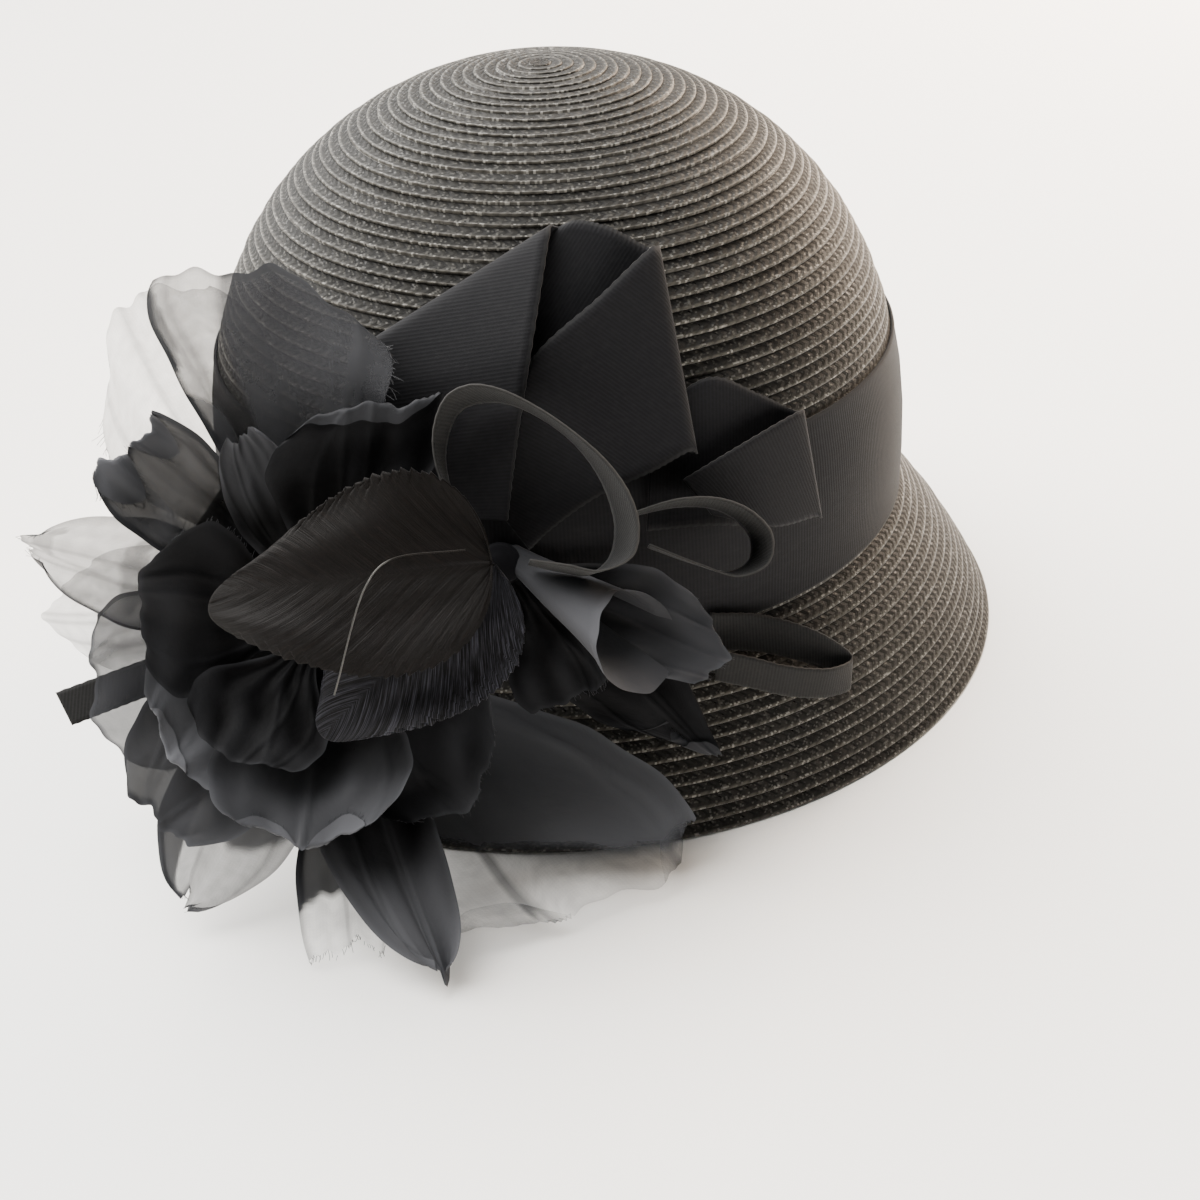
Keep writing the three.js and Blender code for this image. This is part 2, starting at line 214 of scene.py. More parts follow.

# %% [markdown]
# The strands are black with a little brown, and each crossing has its own share of light, as straw
# from many stalks has. The lip's top is painted lighter, a painted highlight. Flakes of the glossy
# skin are glossier here and there, and light specks painted into the colour, most of all along the
# lip, are painted glints. A smooth glossy black would look like plastic, so roughness and bump break
# up the shine.

# %% Straw finish
FLAKES_PER_PLAIT_AND_ROW = (5.0, 7.0, 1.0)
GRAINS_PER_PLAIT = 5.0
STRAW_RELIEF_MM = 0.45


def straw_finish():
    """Black plaited straw: soft gloss on the strands, painted shade in the gaps, painted lip highlights
    and glints.
    """
    finish, add, shader = new_finish("plaited_straw", {"IOR": 1.5, "Specular IOR Level": 0.16})
    uv = add("UVMap", uv_map="rows")
    strand, lip, dark, chance = plait_pattern(add, uv)
    grain = add("TexNoise", {
        "Vector": uv, "Scale": GRAINS_PER_PLAIT, "Detail": 4.0, "Roughness": 0.7})
    fleck = add("Math", {0: chance, 1: grain}, operation="MULTIPLY")
    body = add("Mix", {"Factor": fleck, "A": linear("161513"), "B": linear("32302c")}, data_type="RGBA")
    # The lip strand's rounded top is painted lighter: a painted highlight.
    bead = add("MapRange", {"Value": strand, 1: 0.0, 2: 0.35, 3: 0.45, 4: 1.0}, **SMOOTH_STEP)
    painted_lip_highlight = add("Math", {0: lip, 1: bead}, operation="MULTIPLY")
    strands = add("Mix", {"Factor": painted_lip_highlight, "A": body, "B": linear("48453f")}, data_type="RGBA")
    # Light specks in the colour, most of all on the lip, are painted glints.
    flakes = add("VectorMath", {0: uv, 1: FLAKES_PER_PLAIT_AND_ROW}, operation="MULTIPLY")
    flake = add("VectorMath", {0: flakes}, operation="FLOOR")
    glint = add("TexWhiteNoise", {"Vector": flake}, noise_dimensions="2D")
    bright = add("MapRange", {"Value": glint, 1: 0.72, 2: 1.0}, **SMOOTH_STEP)
    on_lip = add("MapRange", {"Value": lip, 3: 0.2, 4: 1.0})
    painted_glint = add("Math", {0: bright, 1: on_lip}, operation="MULTIPLY")
    with_painted_glints = add("Mix", {"Factor": painted_glint, "A": strands, "B": linear("8a8780")}, data_type="RGBA")
    # Near black mixed in at the gaps and grooves is painted shade.
    colour = add("Mix", {"Factor": dark, "A": with_painted_glints, "B": linear("0f0e0d")}, data_type="RGBA")
    plain = add("MapRange", {"Value": lip, 3: 0.62, 4: 0.36})
    gloss = add("MapRange", {"Value": glint, 1: 0.86, 2: 1.0, 3: plain, 4: 0.2}, **SMOOTH_STEP)
    flat_lip = add("MapRange", {"Value": lip, 3: 1.0, 4: 0.4})
    relief = add("Math", {0: strand, 1: flat_lip}, operation="MULTIPLY")
    height = add("Math", {0: grain, 1: 0.35, 2: relief}, operation="MULTIPLY_ADD")
    bump = add("Bump", {"Height": height, "Strength": 0.9, "Distance": STRAW_RELIEF_MM * MM})
    fill_sockets(shader.inputs, {"Base Color": colour, "Roughness": gloss, "Normal": bump})
    return finish


straw = straw_finish()
print("finish:", straw.name)

# %% [markdown]
# The hat's outline is one curve turned about Z and squeezed to an oval: a rounded crown, a neck at the
# headline and a brim that bells out a little on its way down. It is the outline that the solids have,
# written here as close points of radius and height in mm, so that rows can be laid along it.

# %% Hat outline
OVAL = 0.867
HEAD_HALF_LENGTH, RIM_HALF_LENGTH = 99.5, 131.7
HEADLINE_Z, CROWN_HEIGHT, CROWN_ROUNDNESS = 45.8, 123.2, 0.8
BRIM_FLARE, BRIM_NECK = 2.1, 2.7
CROWN_POINTS, BRIM_POINTS = 4000, 800


def crown_outline(foot_z):
    """Close points of the outline from the tip down to a height."""
    foot = math.asin(((foot_z - HEADLINE_Z) / CROWN_HEIGHT) ** (1 / CROWN_ROUNDNESS))
    angle = np.linspace(math.pi / 2, foot, CROWN_POINTS)
    rise = np.sin(angle) ** CROWN_ROUNDNESS
    return np.stack([HEAD_HALF_LENGTH * np.cos(angle), HEADLINE_Z + CROWN_HEIGHT * rise], 1)


def brim_outline():
    """Close points of the outline from the neck down to the rim."""
    neck = crown_outline(HEADLINE_Z)
    neck = neck[neck[:, 1] <= HEADLINE_Z + BRIM_NECK]
    share = np.linspace(0, 1, BRIM_POINTS)
    bell = BRIM_FLARE * np.sin(math.pi * share)
    radius = HEAD_HALF_LENGTH + (RIM_HALF_LENGTH - HEAD_HALF_LENGTH) * share + bell
    return np.vstack([neck, np.stack([radius, HEADLINE_Z * (1 - share)], 1)[1:]])


def strides(points):
    """Lengths from each point of a line to the next."""
    return np.linalg.norm(np.diff(points, axis=0), axis=1)


def distances(points):
    """Distance along a line of points, from 0 at its start to its length."""
    return np.concatenate([[0], np.cumsum(strides(points))])


def along_outline(outline, distance, offset):
    """Points at distances down the outline, moved square to it by offsets."""
    reached = distances(outline)
    slope = np.gradient(outline, reached, axis=0)
    at = [np.interp(distance, reached, outline[:, i]) for i in (0, 1)]
    run = np.stack([np.interp(distance, reached, slope[:, i]) for i in (0, 1)], 1)
    run /= np.linalg.norm(run, axis=1)[:, None]
    return np.stack([at[0] - run[:, 1] * offset, at[1] + run[:, 0] * offset], 1)


print("outline in mm: crown", round(strides(crown_outline(HEADLINE_Z)).sum()),
      "and brim", round(strides(brim_outline()).sum()))

# %% [markdown]
# The braid is sewn from the tip down, each row lapping over the next, so its section is a run of small
# shingles, each with a rounded lower lip. Rows grow a little wider on the way down, and those near the
# tip are flatter. Under the band they are plain, because nobody sees them. An array modifier can't
# follow the curve with changing rows, so the section's points are worked out one by one.

# %% Rows of braid
SEWN_GAP, STRAW_WALL, INNER_LAP = 0.3, 2.0, 0.2
TIP_ROW, HEADLINE_ROW, BRIM_ROW = 2.85, 3.75, 3.85
ROW_SHARES = (0.0, 0.1, 0.7, 0.82, 0.95, 1.0)
ROW_RELIEF = (-0.42, -0.2, -0.02, 0.36, 0.32, -0.25)
ROW_END = 0.999
PLAIN_SHARES, PLAIN_RELIEF = (0.0, 1.0), (-0.3, 0.0)
CROWN_PLAIN_FROM, NEVER_PLAIN = 131.0, 1000.0
EASED_MM, EASED_AT_TIP = 75.0, 0.45


def row_starts(length, first, last):
    """Distances where rows begin and end, with the row's height growing down the outline."""
    starts = [0.0]
    while starts[-1] < length:
        starts.append(starts[-1] + first + (last - first) * min(starts[-1] / length, 1))
    return np.array(starts) * length / starts[-1]


def braid_section(outline, first, last, plain_from):
    """Closed section of a braid wall: its points, their rows with the share of it, and the row count."""
    edges = row_starts(strides(outline).sum(), first, last)
    count = len(edges) - 1
    distance, offset, rows = [], [], []
    for k in range(count):
        plain = edges[k] >= plain_from
        ease = np.interp(edges[k], (0, EASED_MM), (EASED_AT_TIP, 1))
        shares = PLAIN_SHARES if plain else ROW_SHARES
        distance += [edges[k] + (edges[k + 1] - edges[k]) * share for share in shares]
        offset += PLAIN_RELIEF if plain else [ease * step for step in ROW_RELIEF]
        rows += [k + min(share, ROW_END) for share in shares]
    outer = along_outline(outline, np.array(distance), np.array(offset))
    back = np.repeat(edges, 2)[1:-1][::-1]
    lap = np.where(np.arange(len(back)) % 2 == 0, -STRAW_WALL + INNER_LAP, -STRAW_WALL - INNER_LAP)
    inner = along_outline(outline, back, lap)
    inner_rows = [k + 0.5 for k in np.repeat(np.arange(count), 2)[::-1]]
    return np.vstack([outer, inner]), np.array(rows + inner_rows), count


crown_section, crown_rows, crown_count = braid_section(
    crown_outline(HEADLINE_Z + BRIM_NECK + SEWN_GAP), TIP_ROW, HEADLINE_ROW, CROWN_PLAIN_FROM)
brim_section, brim_rows, brim_count = braid_section(
    brim_outline(), HEADLINE_ROW, BRIM_ROW, NEVER_PLAIN)
# The crown closes on the axis, and no point of the brim goes below the floor.
crown_section[:, 0] = np.maximum(crown_section[:, 0], 0)
crown_section[[0, -1], 0] = 0
brim_section[:, 1] = np.maximum(brim_section[:, 1], 0)
print("braid rows:", crown_count, "on the crown and", brim_count, "on the brim")

# %% [markdown]
# A closed section is drawn by moving the points of a circle primitive, and spin turns it about Z. Spin
# leaves a seam and a pole, so doubles are merged and normals recalculated. Reading and writing all
# vertices as one array is much quicker than visiting them one by one.

# %% Spin a section
HAT_STEPS = 256
MERGE_DISTANCE, LEAST_EDGE = 1e-6, 1e-7


def read_points(piece):
    """The piece's vertices as an array."""
    points = np.empty(len(piece.data.vertices) * 3)
    piece.data.vertices.foreach_get("co", points)
    return points.reshape(-1, 3)


def write_points(piece, points):
    """Put the piece's vertices at new places."""
    piece.data.vertices.foreach_set("co", np.ascontiguousarray(points, float).ravel())
    piece.data.update()


def spun_section(name, section, steps):
    """Closed section in the XZ plane turned about Z, in metres."""
    bpy.ops.object.select_all(action="DESELECT")
    bpy.ops.mesh.primitive_circle_add(vertices=len(section), fill_type="NOTHING")
    piece = bpy.context.active_object
    piece.name = name
    points = np.zeros((len(section), 3))
    points[:, [0, 2]] = section * MM
    write_points(piece, points)
    bpy.ops.object.mode_set(mode="EDIT")
    bpy.ops.mesh.select_all(action="SELECT")
    bpy.ops.mesh.spin(steps=steps, angle=FULL_TURN, center=(0, 0, 0), axis=(0, 0, 1))
    bpy.ops.mesh.select_all(action="SELECT")
    bpy.ops.mesh.remove_doubles(threshold=MERGE_DISTANCE)
    bpy.ops.mesh.dissolve_degenerate(threshold=LEAST_EDGE)
    bpy.ops.mesh.normals_make_consistent(inside=False)
    bpy.ops.object.mode_set(mode="OBJECT")
    return piece


crown_braid = spun_section("crown_braid", crown_section, HAT_STEPS)
brim_braid = spun_section("brim_braid", brim_section, HAT_STEPS)
print("faces spun:", len(crown_braid.data.polygons), "and", len(brim_braid.data.polygons))

# %% [markdown]
# Hand-guided rows are never quite even, so every vertex drifts slowly in and out, and the round shape
# is squeezed to the head's oval. Each vertex is traced back to its point of the section, which tells
# its row. The seam needs care in the UV map: a face that crosses it would run the pattern backwards.

# %% Uneven rows and their UV map
PLAIT_MM, LEAST_PLAITS, ROW_SHIFT = 2.7, 3, 0.37
DRIFT_MM, DRIFT_LEAST_RADIUS = 0.12, 20
DRIFT_WAVES = ((1.0, 2, 1.7), (0.7, 5, -2.3))
KEY_DIGITS = 5


def give_uv(piece, name, uv):
    """UV map from one pair of numbers per face corner."""
    layer = piece.data.uv_layers.get(name) or piece.data.uv_layers.new(name=name)
    layer.data.foreach_set("uv", np.ascontiguousarray(uv, float).ravel())


def face_corners(piece):
    """The vertex number of every face corner."""
    corner = np.empty(len(piece.data.loops), int)
    piece.data.loops.foreach_get("vertex_index", corner)
    return corner


def spun_places(piece, section, values, otherwise):
    """A spun piece's points, radii and angles, and each point's value from the section."""
    points = read_points(piece)
    radius = np.hypot(points[:, 0], points[:, 1])
    known = {tuple(key): value for key, value in zip(np.round(section * MM, KEY_DIGITS), values)}
    keys = np.round(np.stack([radius, points[:, 2]], 1), KEY_DIGITS)
    found = np.array([known.get(tuple(key), otherwise) for key in keys])
    return points, radius, np.arctan2(points[:, 1], points[:, 0]), found


def to_oval(piece, points, grown):
    """Write a spun piece's points, each grown by its share and squeezed to the head's oval."""
    points[:, 0] *= grown
    points[:, 1] *= grown * OVAL
    write_points(piece, points)


def corner_turns(piece, angles):
    """Each face corner's turn about Z as a share, unbroken over the face that crosses the seam."""
    corner = face_corners(piece)
    starts = np.array([face.loop_start for face in piece.data.polygons])
    totals = np.array([face.loop_total for face in piece.data.polygons])
    face_of = np.repeat(np.arange(len(starts)), totals)
    turns = (angles[corner] / FULL_TURN) % 1.0
    low = np.minimum.reduceat(turns, starts)[face_of]
    high = np.maximum.reduceat(turns, starts)[face_of]
    return np.where((high - low > 0.5) & (turns < 0.5), turns + 1, turns), corner, face_of


def sew_rows(piece, section, rows):
    """Make a spun braid uneven, as sewing leaves it, and give it its map of plaits and rows."""
    points, radius, angle, row_of = spun_places(piece, section, rows, 0.0)
    number = np.floor(row_of)
    drift = sum(part * np.sin(waves * angle + shift * number) for part, waves, shift in DRIFT_WAVES)
    to_oval(piece, points, 1 + DRIFT_MM * MM * drift / np.maximum(radius, DRIFT_LEAST_RADIUS * MM))
    turns, corner, face_of = corner_turns(piece, angle)
    face_row = np.full(face_of.max() + 1, np.inf)
    np.minimum.at(face_row, face_of, number[corner])
    face_row = face_row[face_of].astype(int)
    ring = np.array([radius[number == k].mean() for k in range(int(number.max()) + 1)])
    girth = FULL_TURN * ring * (1 + OVAL) / 2
    plaits = np.maximum(np.round(girth / (PLAIT_MM * MM)), LEAST_PLAITS)
    share = np.where(number[corner] > face_row, ROW_END, row_of[corner] - face_row)
    plait_of = turns * plaits[face_row] + ROW_SHIFT * face_row
    give_uv(piece, "rows", np.stack([plait_of, face_row + share], 1))
    print(piece.name, "plaits in its last row:", int(plaits[-1]))


sew_rows(crown_braid, crown_section, crown_rows)
sew_rows(brim_braid, brim_section, brim_rows)

# %% [markdown]
# Every piece ends in the same way: smooth shading, its finish, the CAD body that it moves with, and the
# solids that it stands for. One function keeps that in one place.

# %% Settle the crown and the brim
def only_select(piece):
    """Make one object the selected and active one."""
    bpy.ops.object.select_all(action="DESELECT")
    piece.select_set(True)
    bpy.context.view_layer.objects.active = piece


def settle(piece, finish, slot, *nodes):
    """Smooth shading, finish, CAD body and the solids that the piece stands for; slot is not used."""
    only_select(piece)
    bpy.ops.object.shade_smooth()
    piece.data.materials.clear()
    piece.data.materials.append(finish)
    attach(piece, "root")
    if nodes:
        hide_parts(*nodes)


settle(crown_braid, straw, "straw", "crown")
settle(brim_braid, straw, "straw", "brim")
print("settled:", crown_braid.name, brim_braid.name)

# %% [markdown]
# Grosgrain is a stiff ribbon whose thick weft threads stand up as fine cross ribs, between two smooth
# woven selvedges. Real ribs are finer than the picture can show, so they are drawn about a millimetre
# apart. Modelled ribs would cost far too many faces; in nodes they follow a UV map that runs along the
# ribbon in millimetres and across it from 0 to 1.

# %% Grosgrain finish
RIB_MM, RIB_RELIEF_MM = 0.95, 0.12
RUBS_PER_METRE, FUZZ_PER_METRE = 45.0, 900.0


def grosgrain_finish(name, shaded_valley, ridge, edge):
    """Black ribbed ribbon: matte, with painted shade in the lines between ribs and smoother edges."""
    finish, add, shader = new_finish(name, {
        "Roughness": 0.8, "Sheen Weight": 0.06, "Sheen Roughness": 0.4, "Specular IOR Level": 0.15})
    uv = add("UVMap", uv_map="ribbon")
    along = add("SeparateXYZ", {"Vector": uv})
    across = along.node.outputs["Y"]
    rib = add("Math", {0: along, 1: RIB_MM / 2}, operation="PINGPONG")
    to_middle = add("Math", {0: across, 1: 0.5}, operation="SUBTRACT")
    to_edge = add("Math", {0: to_middle}, operation="ABSOLUTE")
    selvedge = add("MapRange", {"Value": to_edge, 1: 0.476, 2: 0.488}, **SMOOTH_STEP)
    crest = add("MapRange", {"Value": rib, 1: 0.05, 2: 0.5 * RIB_MM}, **SMOOTH_STEP)
    # The valleys between ribs are darker in colour: painted shade.
    shade = add("Mix", {"Factor": crest, "A": linear(shaded_valley), "B": linear(ridge)}, data_type="RGBA")
    edged = add("Mix", {"Factor": selvedge, "A": shade, "B": linear(edge)}, data_type="RGBA")
    rub = add("TexNoise", {"Scale": RUBS_PER_METRE, "Detail": 3.0})
    lighter_share = add("MapRange", {"Value": rub, 1: 0.4, 2: 0.8, 3: 0.0, 4: 0.3}, **SMOOTH_STEP)
    colour = add("Mix", {"Factor": lighter_share, "A": edged, "B": linear(edge)}, data_type="RGBA")
    between = add("MapRange", {"Value": selvedge, 3: 1.0, 4: 0.3})
    ribs = add("Math", {0: crest, 1: between}, operation="MULTIPLY")
    fuzz = add("TexNoise", {"Scale": FUZZ_PER_METRE, "Detail": 2.0})
    height = add("Math", {0: fuzz, 1: 0.9, 2: ribs}, operation="MULTIPLY_ADD")
    bump = add("Bump", {"Height": height, "Strength": 0.25, "Distance": RIB_RELIEF_MM * MM})
    fill_sockets(shader.inputs, {"Base Color": colour, "Normal": bump})
    return finish


grosgrain = grosgrain_finish("grosgrain", "121214", "17171a", "212122")
# The narrow ribbon is the same cloth in lighter colours: painted light on the lit faces of its loops.
narrow_grosgrain_painted_lighter = grosgrain_finish("narrow_grosgrain_painted_lighter", "1f1f1f", "272727", "302f2e")
print("finishes:", grosgrain.name, narrow_grosgrain_painted_lighter.name)

# %% [markdown]
# The band is one length of fifty-millimetre ribbon pulled round the foot of the crown. A flat strip
# could be wrapped on with a modifier, but spinning is exact: a thin closed section follows the crown's
# outline and swells by a hair at both selvedges. A slow sway keeps it from looking machined.

# %% Band
BAND_FOOT, BAND_HEIGHT, BAND_GAP, BAND_WALL = 0.4, 50.0, 0.42, 0.7
BAND_SHARES = np.array([0.0, 0.008, 0.022, 0.034, 0.25, 0.5, 0.75, 0.966, 0.978, 0.992, 1.0])
SELVEDGE_SHARE, SELVEDGE_SWELL, SELVEDGE_TUCK = 0.03, 0.16, -0.12
BAND_STEPS, BAND_SWAY_MM = 300, 0.25


def band_section():
    """Thin section that follows the crown's outline between the band's edges, and its flat height."""
    outline = crown_outline(HEADLINE_Z + BAND_FOOT)
    outline = outline[outline[:, 1] <= HEADLINE_Z + BAND_FOOT + BAND_HEIGHT]
    height = strides(outline).sum()
    at_edge = (BAND_SHARES < SELVEDGE_SHARE) | (BAND_SHARES > 1 - SELVEDGE_SHARE)
    swell = np.where(at_edge, SELVEDGE_SWELL, 0.0)
    swell[[0, -1]] = SELVEDGE_TUCK
    front = along_outline(outline, BAND_SHARES * height, BAND_GAP + BAND_WALL + swell)
    back = along_outline(outline, BAND_SHARES[::-1] * height, np.full(len(BAND_SHARES), BAND_GAP))
    return np.vstack([front, back]), height


section, band_flat_height = band_section()
band = spun_section("band_ribbon", section, BAND_STEPS)
points, radius, angle, shares = spun_places(
    band, section, np.concatenate([BAND_SHARES, BAND_SHARES[::-1]]), 0.5)
sway = BAND_SWAY_MM * MM * np.sin(3 * angle + 0.8) * np.sin(math.pi * shares)
to_oval(band, points, 1 + np.maximum(sway, 0) / radius)
turns, corner, _ = corner_turns(band, angle)
band_length = math.pi * (1 + OVAL) * HEAD_HALF_LENGTH
give_uv(band, "ribbon", np.stack([turns * round(band_length / RIB_MM) * RIB_MM, shares[corner]], 1))
settle(band, grosgrain, "grosgrain", "hat_band")
print("band flat in mm:", round(band_flat_height, 1), "by", round(band_length))

# %% [markdown]
# The trim sits in a frame of its own on the side of the hat: x to the right, y up the side and z
# straight out. Bow, loops and petals all lie roughly in that plane, so their tables are easy to read
# there, and one function carries them to the part's frame.

# %% Trim frame
TRIM_AZIMUTH, TRIM_TILT = math.radians(-93), math.radians(36)
TRIM_PLACE = np.array([-30.0, -82.0, 68.0])
TRIM_X = np.array([-math.sin(TRIM_AZIMUTH), math.cos(TRIM_AZIMUTH), 0.0])
TRIM_Z = np.array([math.cos(TRIM_TILT) * math.cos(TRIM_AZIMUTH),
                   math.cos(TRIM_TILT) * math.sin(TRIM_AZIMUTH), math.sin(TRIM_TILT)])
TRIM_Y = np.cross(TRIM_Z, TRIM_X)


def from_trim(x, y, z):
    """Points of the part's frame, in metres, from millimetres in the trim frame."""
    x, y, z = (np.asarray(v, float)[..., None] for v in (x, y, z))
    return (TRIM_PLACE + x * TRIM_X + y * TRIM_Y + z * TRIM_Z) * MM


print("trim faces", np.round(TRIM_Z, 2))

# %% [markdown]
# A ribbon is a ruled sheet between two edge curves. A curve object with a flat bevel would twist at
# the folds, so each edge is a smooth curve of its own through the ends of a few cross lines. The cloth
# between them is a grid primitive whose vertices are moved, and Solidify thickens it.

# %% Curves and cloth grids
def curve_points(places, at):
    """Points of a centripetal curve through places; at runs from 0 to the number of spans."""
    p = np.asarray(places, float)
    p = np.vstack([2 * p[0] - p[1], p, 2 * p[-1] - p[-2]])
    knots = np.concatenate([[0], np.cumsum(strides(p) ** 0.5)])
    i = np.clip(np.floor(at).astype(int), 0, len(p) - 4)
    k = [knots[i + j] for j in range(4)]
    t = k[1] + (k[2] - k[1]) * (at - i)

    def between(a, b, low, high):
        share = ((t - low) / (high - low))[:, None]
        return a * (1 - share) + b * share

    a = [between(p[i + j], p[i + j + 1], k[j], k[j + 1]) for j in range(3)]
    b = [between(a[j], a[j + 1], k[j], k[j + 2]) for j in range(2)]
    return between(b[0], b[1], k[1], k[2])


def cloth_grid(name, along, across, place):
    """Grid primitive moved to place(s, t), with s from 0 to 1 along and t from -1 to 1 across."""
    bpy.ops.object.select_all(action="DESELECT")
    bpy.ops.mesh.primitive_grid_add(x_subdivisions=across, y_subdivisions=along, size=2)
    piece = bpy.context.active_object
    piece.name = name
    flat = read_points(piece)
    s, t = (flat[:, 1] + 1) / 2, flat[:, 0]
    write_points(piece, place(s, t))
    return piece, s, t


def thicken(piece, wall_mm):
    """Give a sheet its thickness, half to each side."""
    only_select(piece)
    wall = piece.modifiers.new("wall", "SOLIDIFY")
    wall.thickness = wall_mm * MM
    wall.offset = 0
    bpy.ops.object.modifier_apply(modifier=wall.name)


bend = curve_points([(0, 0, 0), (10, 0, 0), (10, 10, 0)], np.array([0.5, 1.5]))
print("a curve on both sides of a corner:", bend.round(1).tolist())

# %% [markdown]
# Each row of a ribbon's table is one cross line of the ribbon, lower selvedge first, in the trim frame.
# Close triplets of rows are folds. A ribbon's cloth has its step along in mm, cells across, the height
# of the picots along its selvedges, its wall in mm and its finish. Picots are the tiny loops where the
# weft turns back; every second row of the grid's edge is pushed out for them.

# %% Ribbons
CURVE_STEPS = 60
AT_SELVEDGE = 0.999
WIDE_CLOTH = (0.6, 16, 0.11, 0.5, grosgrain)
NARROW_CLOTH = (0.7, 8, 0.09, 0.45, narrow_grosgrain_painted_lighter)


def ribbon_piece(name, node, table, cloth):
    """Ribbon between two edge curves, with ribs in its UV map and picots on its selvedges."""
    step_mm, cells, picot_mm, wall_mm, finish = cloth
    lines = np.array(table, float)
    low, high = lines[:, :3], lines[:, 3:]
    at = np.linspace(0, len(lines) - 1, CURVE_STEPS * (len(lines) - 1) + 1)
    edges = [curve_points(side, at) for side in (low, high)]
    reached = distances((edges[0] + edges[1]) / 2)
    length = reached[-1]
    steps = int(round(length / step_mm))

    def place(s, t):
        where = np.interp(s * length, reached, at)
        a, b = curve_points(low, where), curve_points(high, where)
        width = np.linalg.norm(b - a, axis=1)[:, None]
        wave = np.sign(t) * picot_mm * np.sin(math.pi * s * steps / 2)
        picot = np.where(np.abs(t) > AT_SELVEDGE, wave, 0)
        return from_trim(*(a + (b - a) * ((t + 1) / 2)[:, None] + (b - a) / width * picot[:, None]).T)

    piece, s, t = cloth_grid(name, steps, cells, place)
    where, across = np.interp(s * length, reached, at), (t + 1) / 2
    low_run, high_run = (np.interp(where, at, distances(edge)) for edge in edges)
    along = low_run * (1 - across) + high_run * across
    give_uv(piece, "ribbon", np.stack([along, across], 1)[face_corners(piece)])
    thicken(piece, wall_mm)
    settle(piece, finish, "grosgrain", node)


print("cells across:", WIDE_CLOTH[1], "in the wide ribbon and", NARROW_CLOTH[1], "in the narrow one")

# %% [markdown]
# The bow: the wide ribbon runs up from the knot, folds over, lies flat on the crown, folds again and
# comes back down behind its first part. The smaller loop beside it is folded once. A cloth simulation
# would soften these pressed folds, so the tables give them directly.

# %% Wide bow loops
LARGE_LOOP = [
    (1, 14, 20, 17, 13, 24), (-12, 30, 20, 20, 30, 30), (-19, 44, 22, 24, 50, 34.5),
    (-20, 52, 23.4, 29, 79.5, 29.6), (-20.6, 53.2, 21.7, 29.3, 81.6, 27.8),
    (-20, 52, 20, 30.5, 81.4, 26), (4, 46, 23.5, 35, 82.8, 26.5), (30, 38, 24, 43, 81, 26.2),
    (61, 28.5, 17, 53, 76, 24.2), (62.4, 28, 18.8, 54.4, 76.2, 25.9),
    (61, 28.5, 20.6, 53, 76, 27.6), (52, 24, 21.5, 40, 64, 31), (38, 18, 21, 24, 50, 31),
    (26, 10, 18, 14, 32, 26), (21.5, 6, 15, 11, 20, 19)]
SMALL_LOOP = [
    (50, 10, 10.5, 52, 38, 17.8), (64, 11, 8, 66, 46.5, 16.5), (80, 11, -1.5, 78, 43, 10),
    (93.5, 13, -11, 88, 39, 4), (95, 12.7, -9, 89.4, 39, 5.8), (93.5, 13, -7, 88, 38.5, 7.6),
    (82, 10.5, 2, 72, 29.5, 15.5), (66, 13.5, 11.5, 59, 22, 17.5)]
ribbon_piece("large_bow_loop", "bow_loop_large", LARGE_LOOP, WIDE_CLOTH)
ribbon_piece("small_bow_loop", "bow_loop_small", SMALL_LOOP, WIDE_CLOTH)

# %% [markdown]
# Narrow ribbon, ten millimetres wide, makes three open loops and a free end. Two loops stand on edge,
# so their cross lines run from the back edge to the front edge. The front edge spreads to the right,
# which lets a crescent of the lighter inner face show.

# %% Narrow loops and free end
RING_LOOP = [
    (11, 9, 29, 12, 10, 37), (4.5, 20, 29, 3.5, 21, 37), (3.5, 30, 30, 1.5, 32, 38),
    (7, 38, 32, 5, 40.6, 41), (12, 40, 33, 10.5, 43, 43), (19, 39.4, 34, 17, 42, 44),
    (26.4, 35.8, 34, 26.2, 37.3, 44.5), (33.3, 30.3, 34, 35, 30.8, 45),
    (38.6, 23.2, 34, 41.7, 24.3, 45), (41.5, 16.2, 33.5, 46.2, 17.3, 45),
    (42.5, 9.9, 33, 48, 10.4, 44), (41, 3.5, 32, 46.5, 3.8, 43), (36, -0.3, 30, 39, 0.6, 41),
    (30, 0.5, 29.5, 32, 2, 40), (22, 2.5, 29, 23, 3.5, 38)]
TEARDROP_LOOP = [
    (44, 13, 18.7, 45, 13.5, 26.7), (57.5, 15.5, 16.7, 58, 17, 26.7), (66, 15, 13.5, 68, 16.8, 24),
    (72, 12, 11, 75.5, 13.5, 21.5), (75.5, 7.5, 8.2, 80, 8, 19), (75, 2, 7, 79, 1.5, 18),
    (70, -0.5, 8.5, 72, -1.5, 18.8), (62, 1.5, 12, 62.5, 1.5, 21.5), (50, 6, 16.7, 50.5, 6.5, 24.7)]
BRIM_LOOP = [
    (66, -20.5, -14.5, 66, -11, -10), (80, -22, -19.5, 80, -12, -17),
    (96, -27, -26.5, 96, -17.5, -22), (104.5, -32.5, -31.5, 104.5, -24, -26.5),
    (98, -34.5, -25, 98, -26.5, -19), (86, -33.5, -18, 86, -25.3, -12.5),
    (77, -31, -14.5, 77, -22.8, -9), (67, -28.5, -12, 67, -20.3, -6.5)]
FREE_END = [
    (-46, -22, -7, -45, -12, -7), (-60, -23.5, -6.5, -59, -13.5, -6.5),
    (-76, -28, -4, -75, -18, -4), (-97, -35.5, 0, -101, -27, 0)]
ribbon_piece("ring_loop", "narrow_loop_1", RING_LOOP, NARROW_CLOTH)
ribbon_piece("teardrop_loop", "narrow_loop_2", TEARDROP_LOOP, NARROW_CLOTH)
ribbon_piece("brim_loop", "narrow_loop_3", BRIM_LOOP, NARROW_CLOTH)
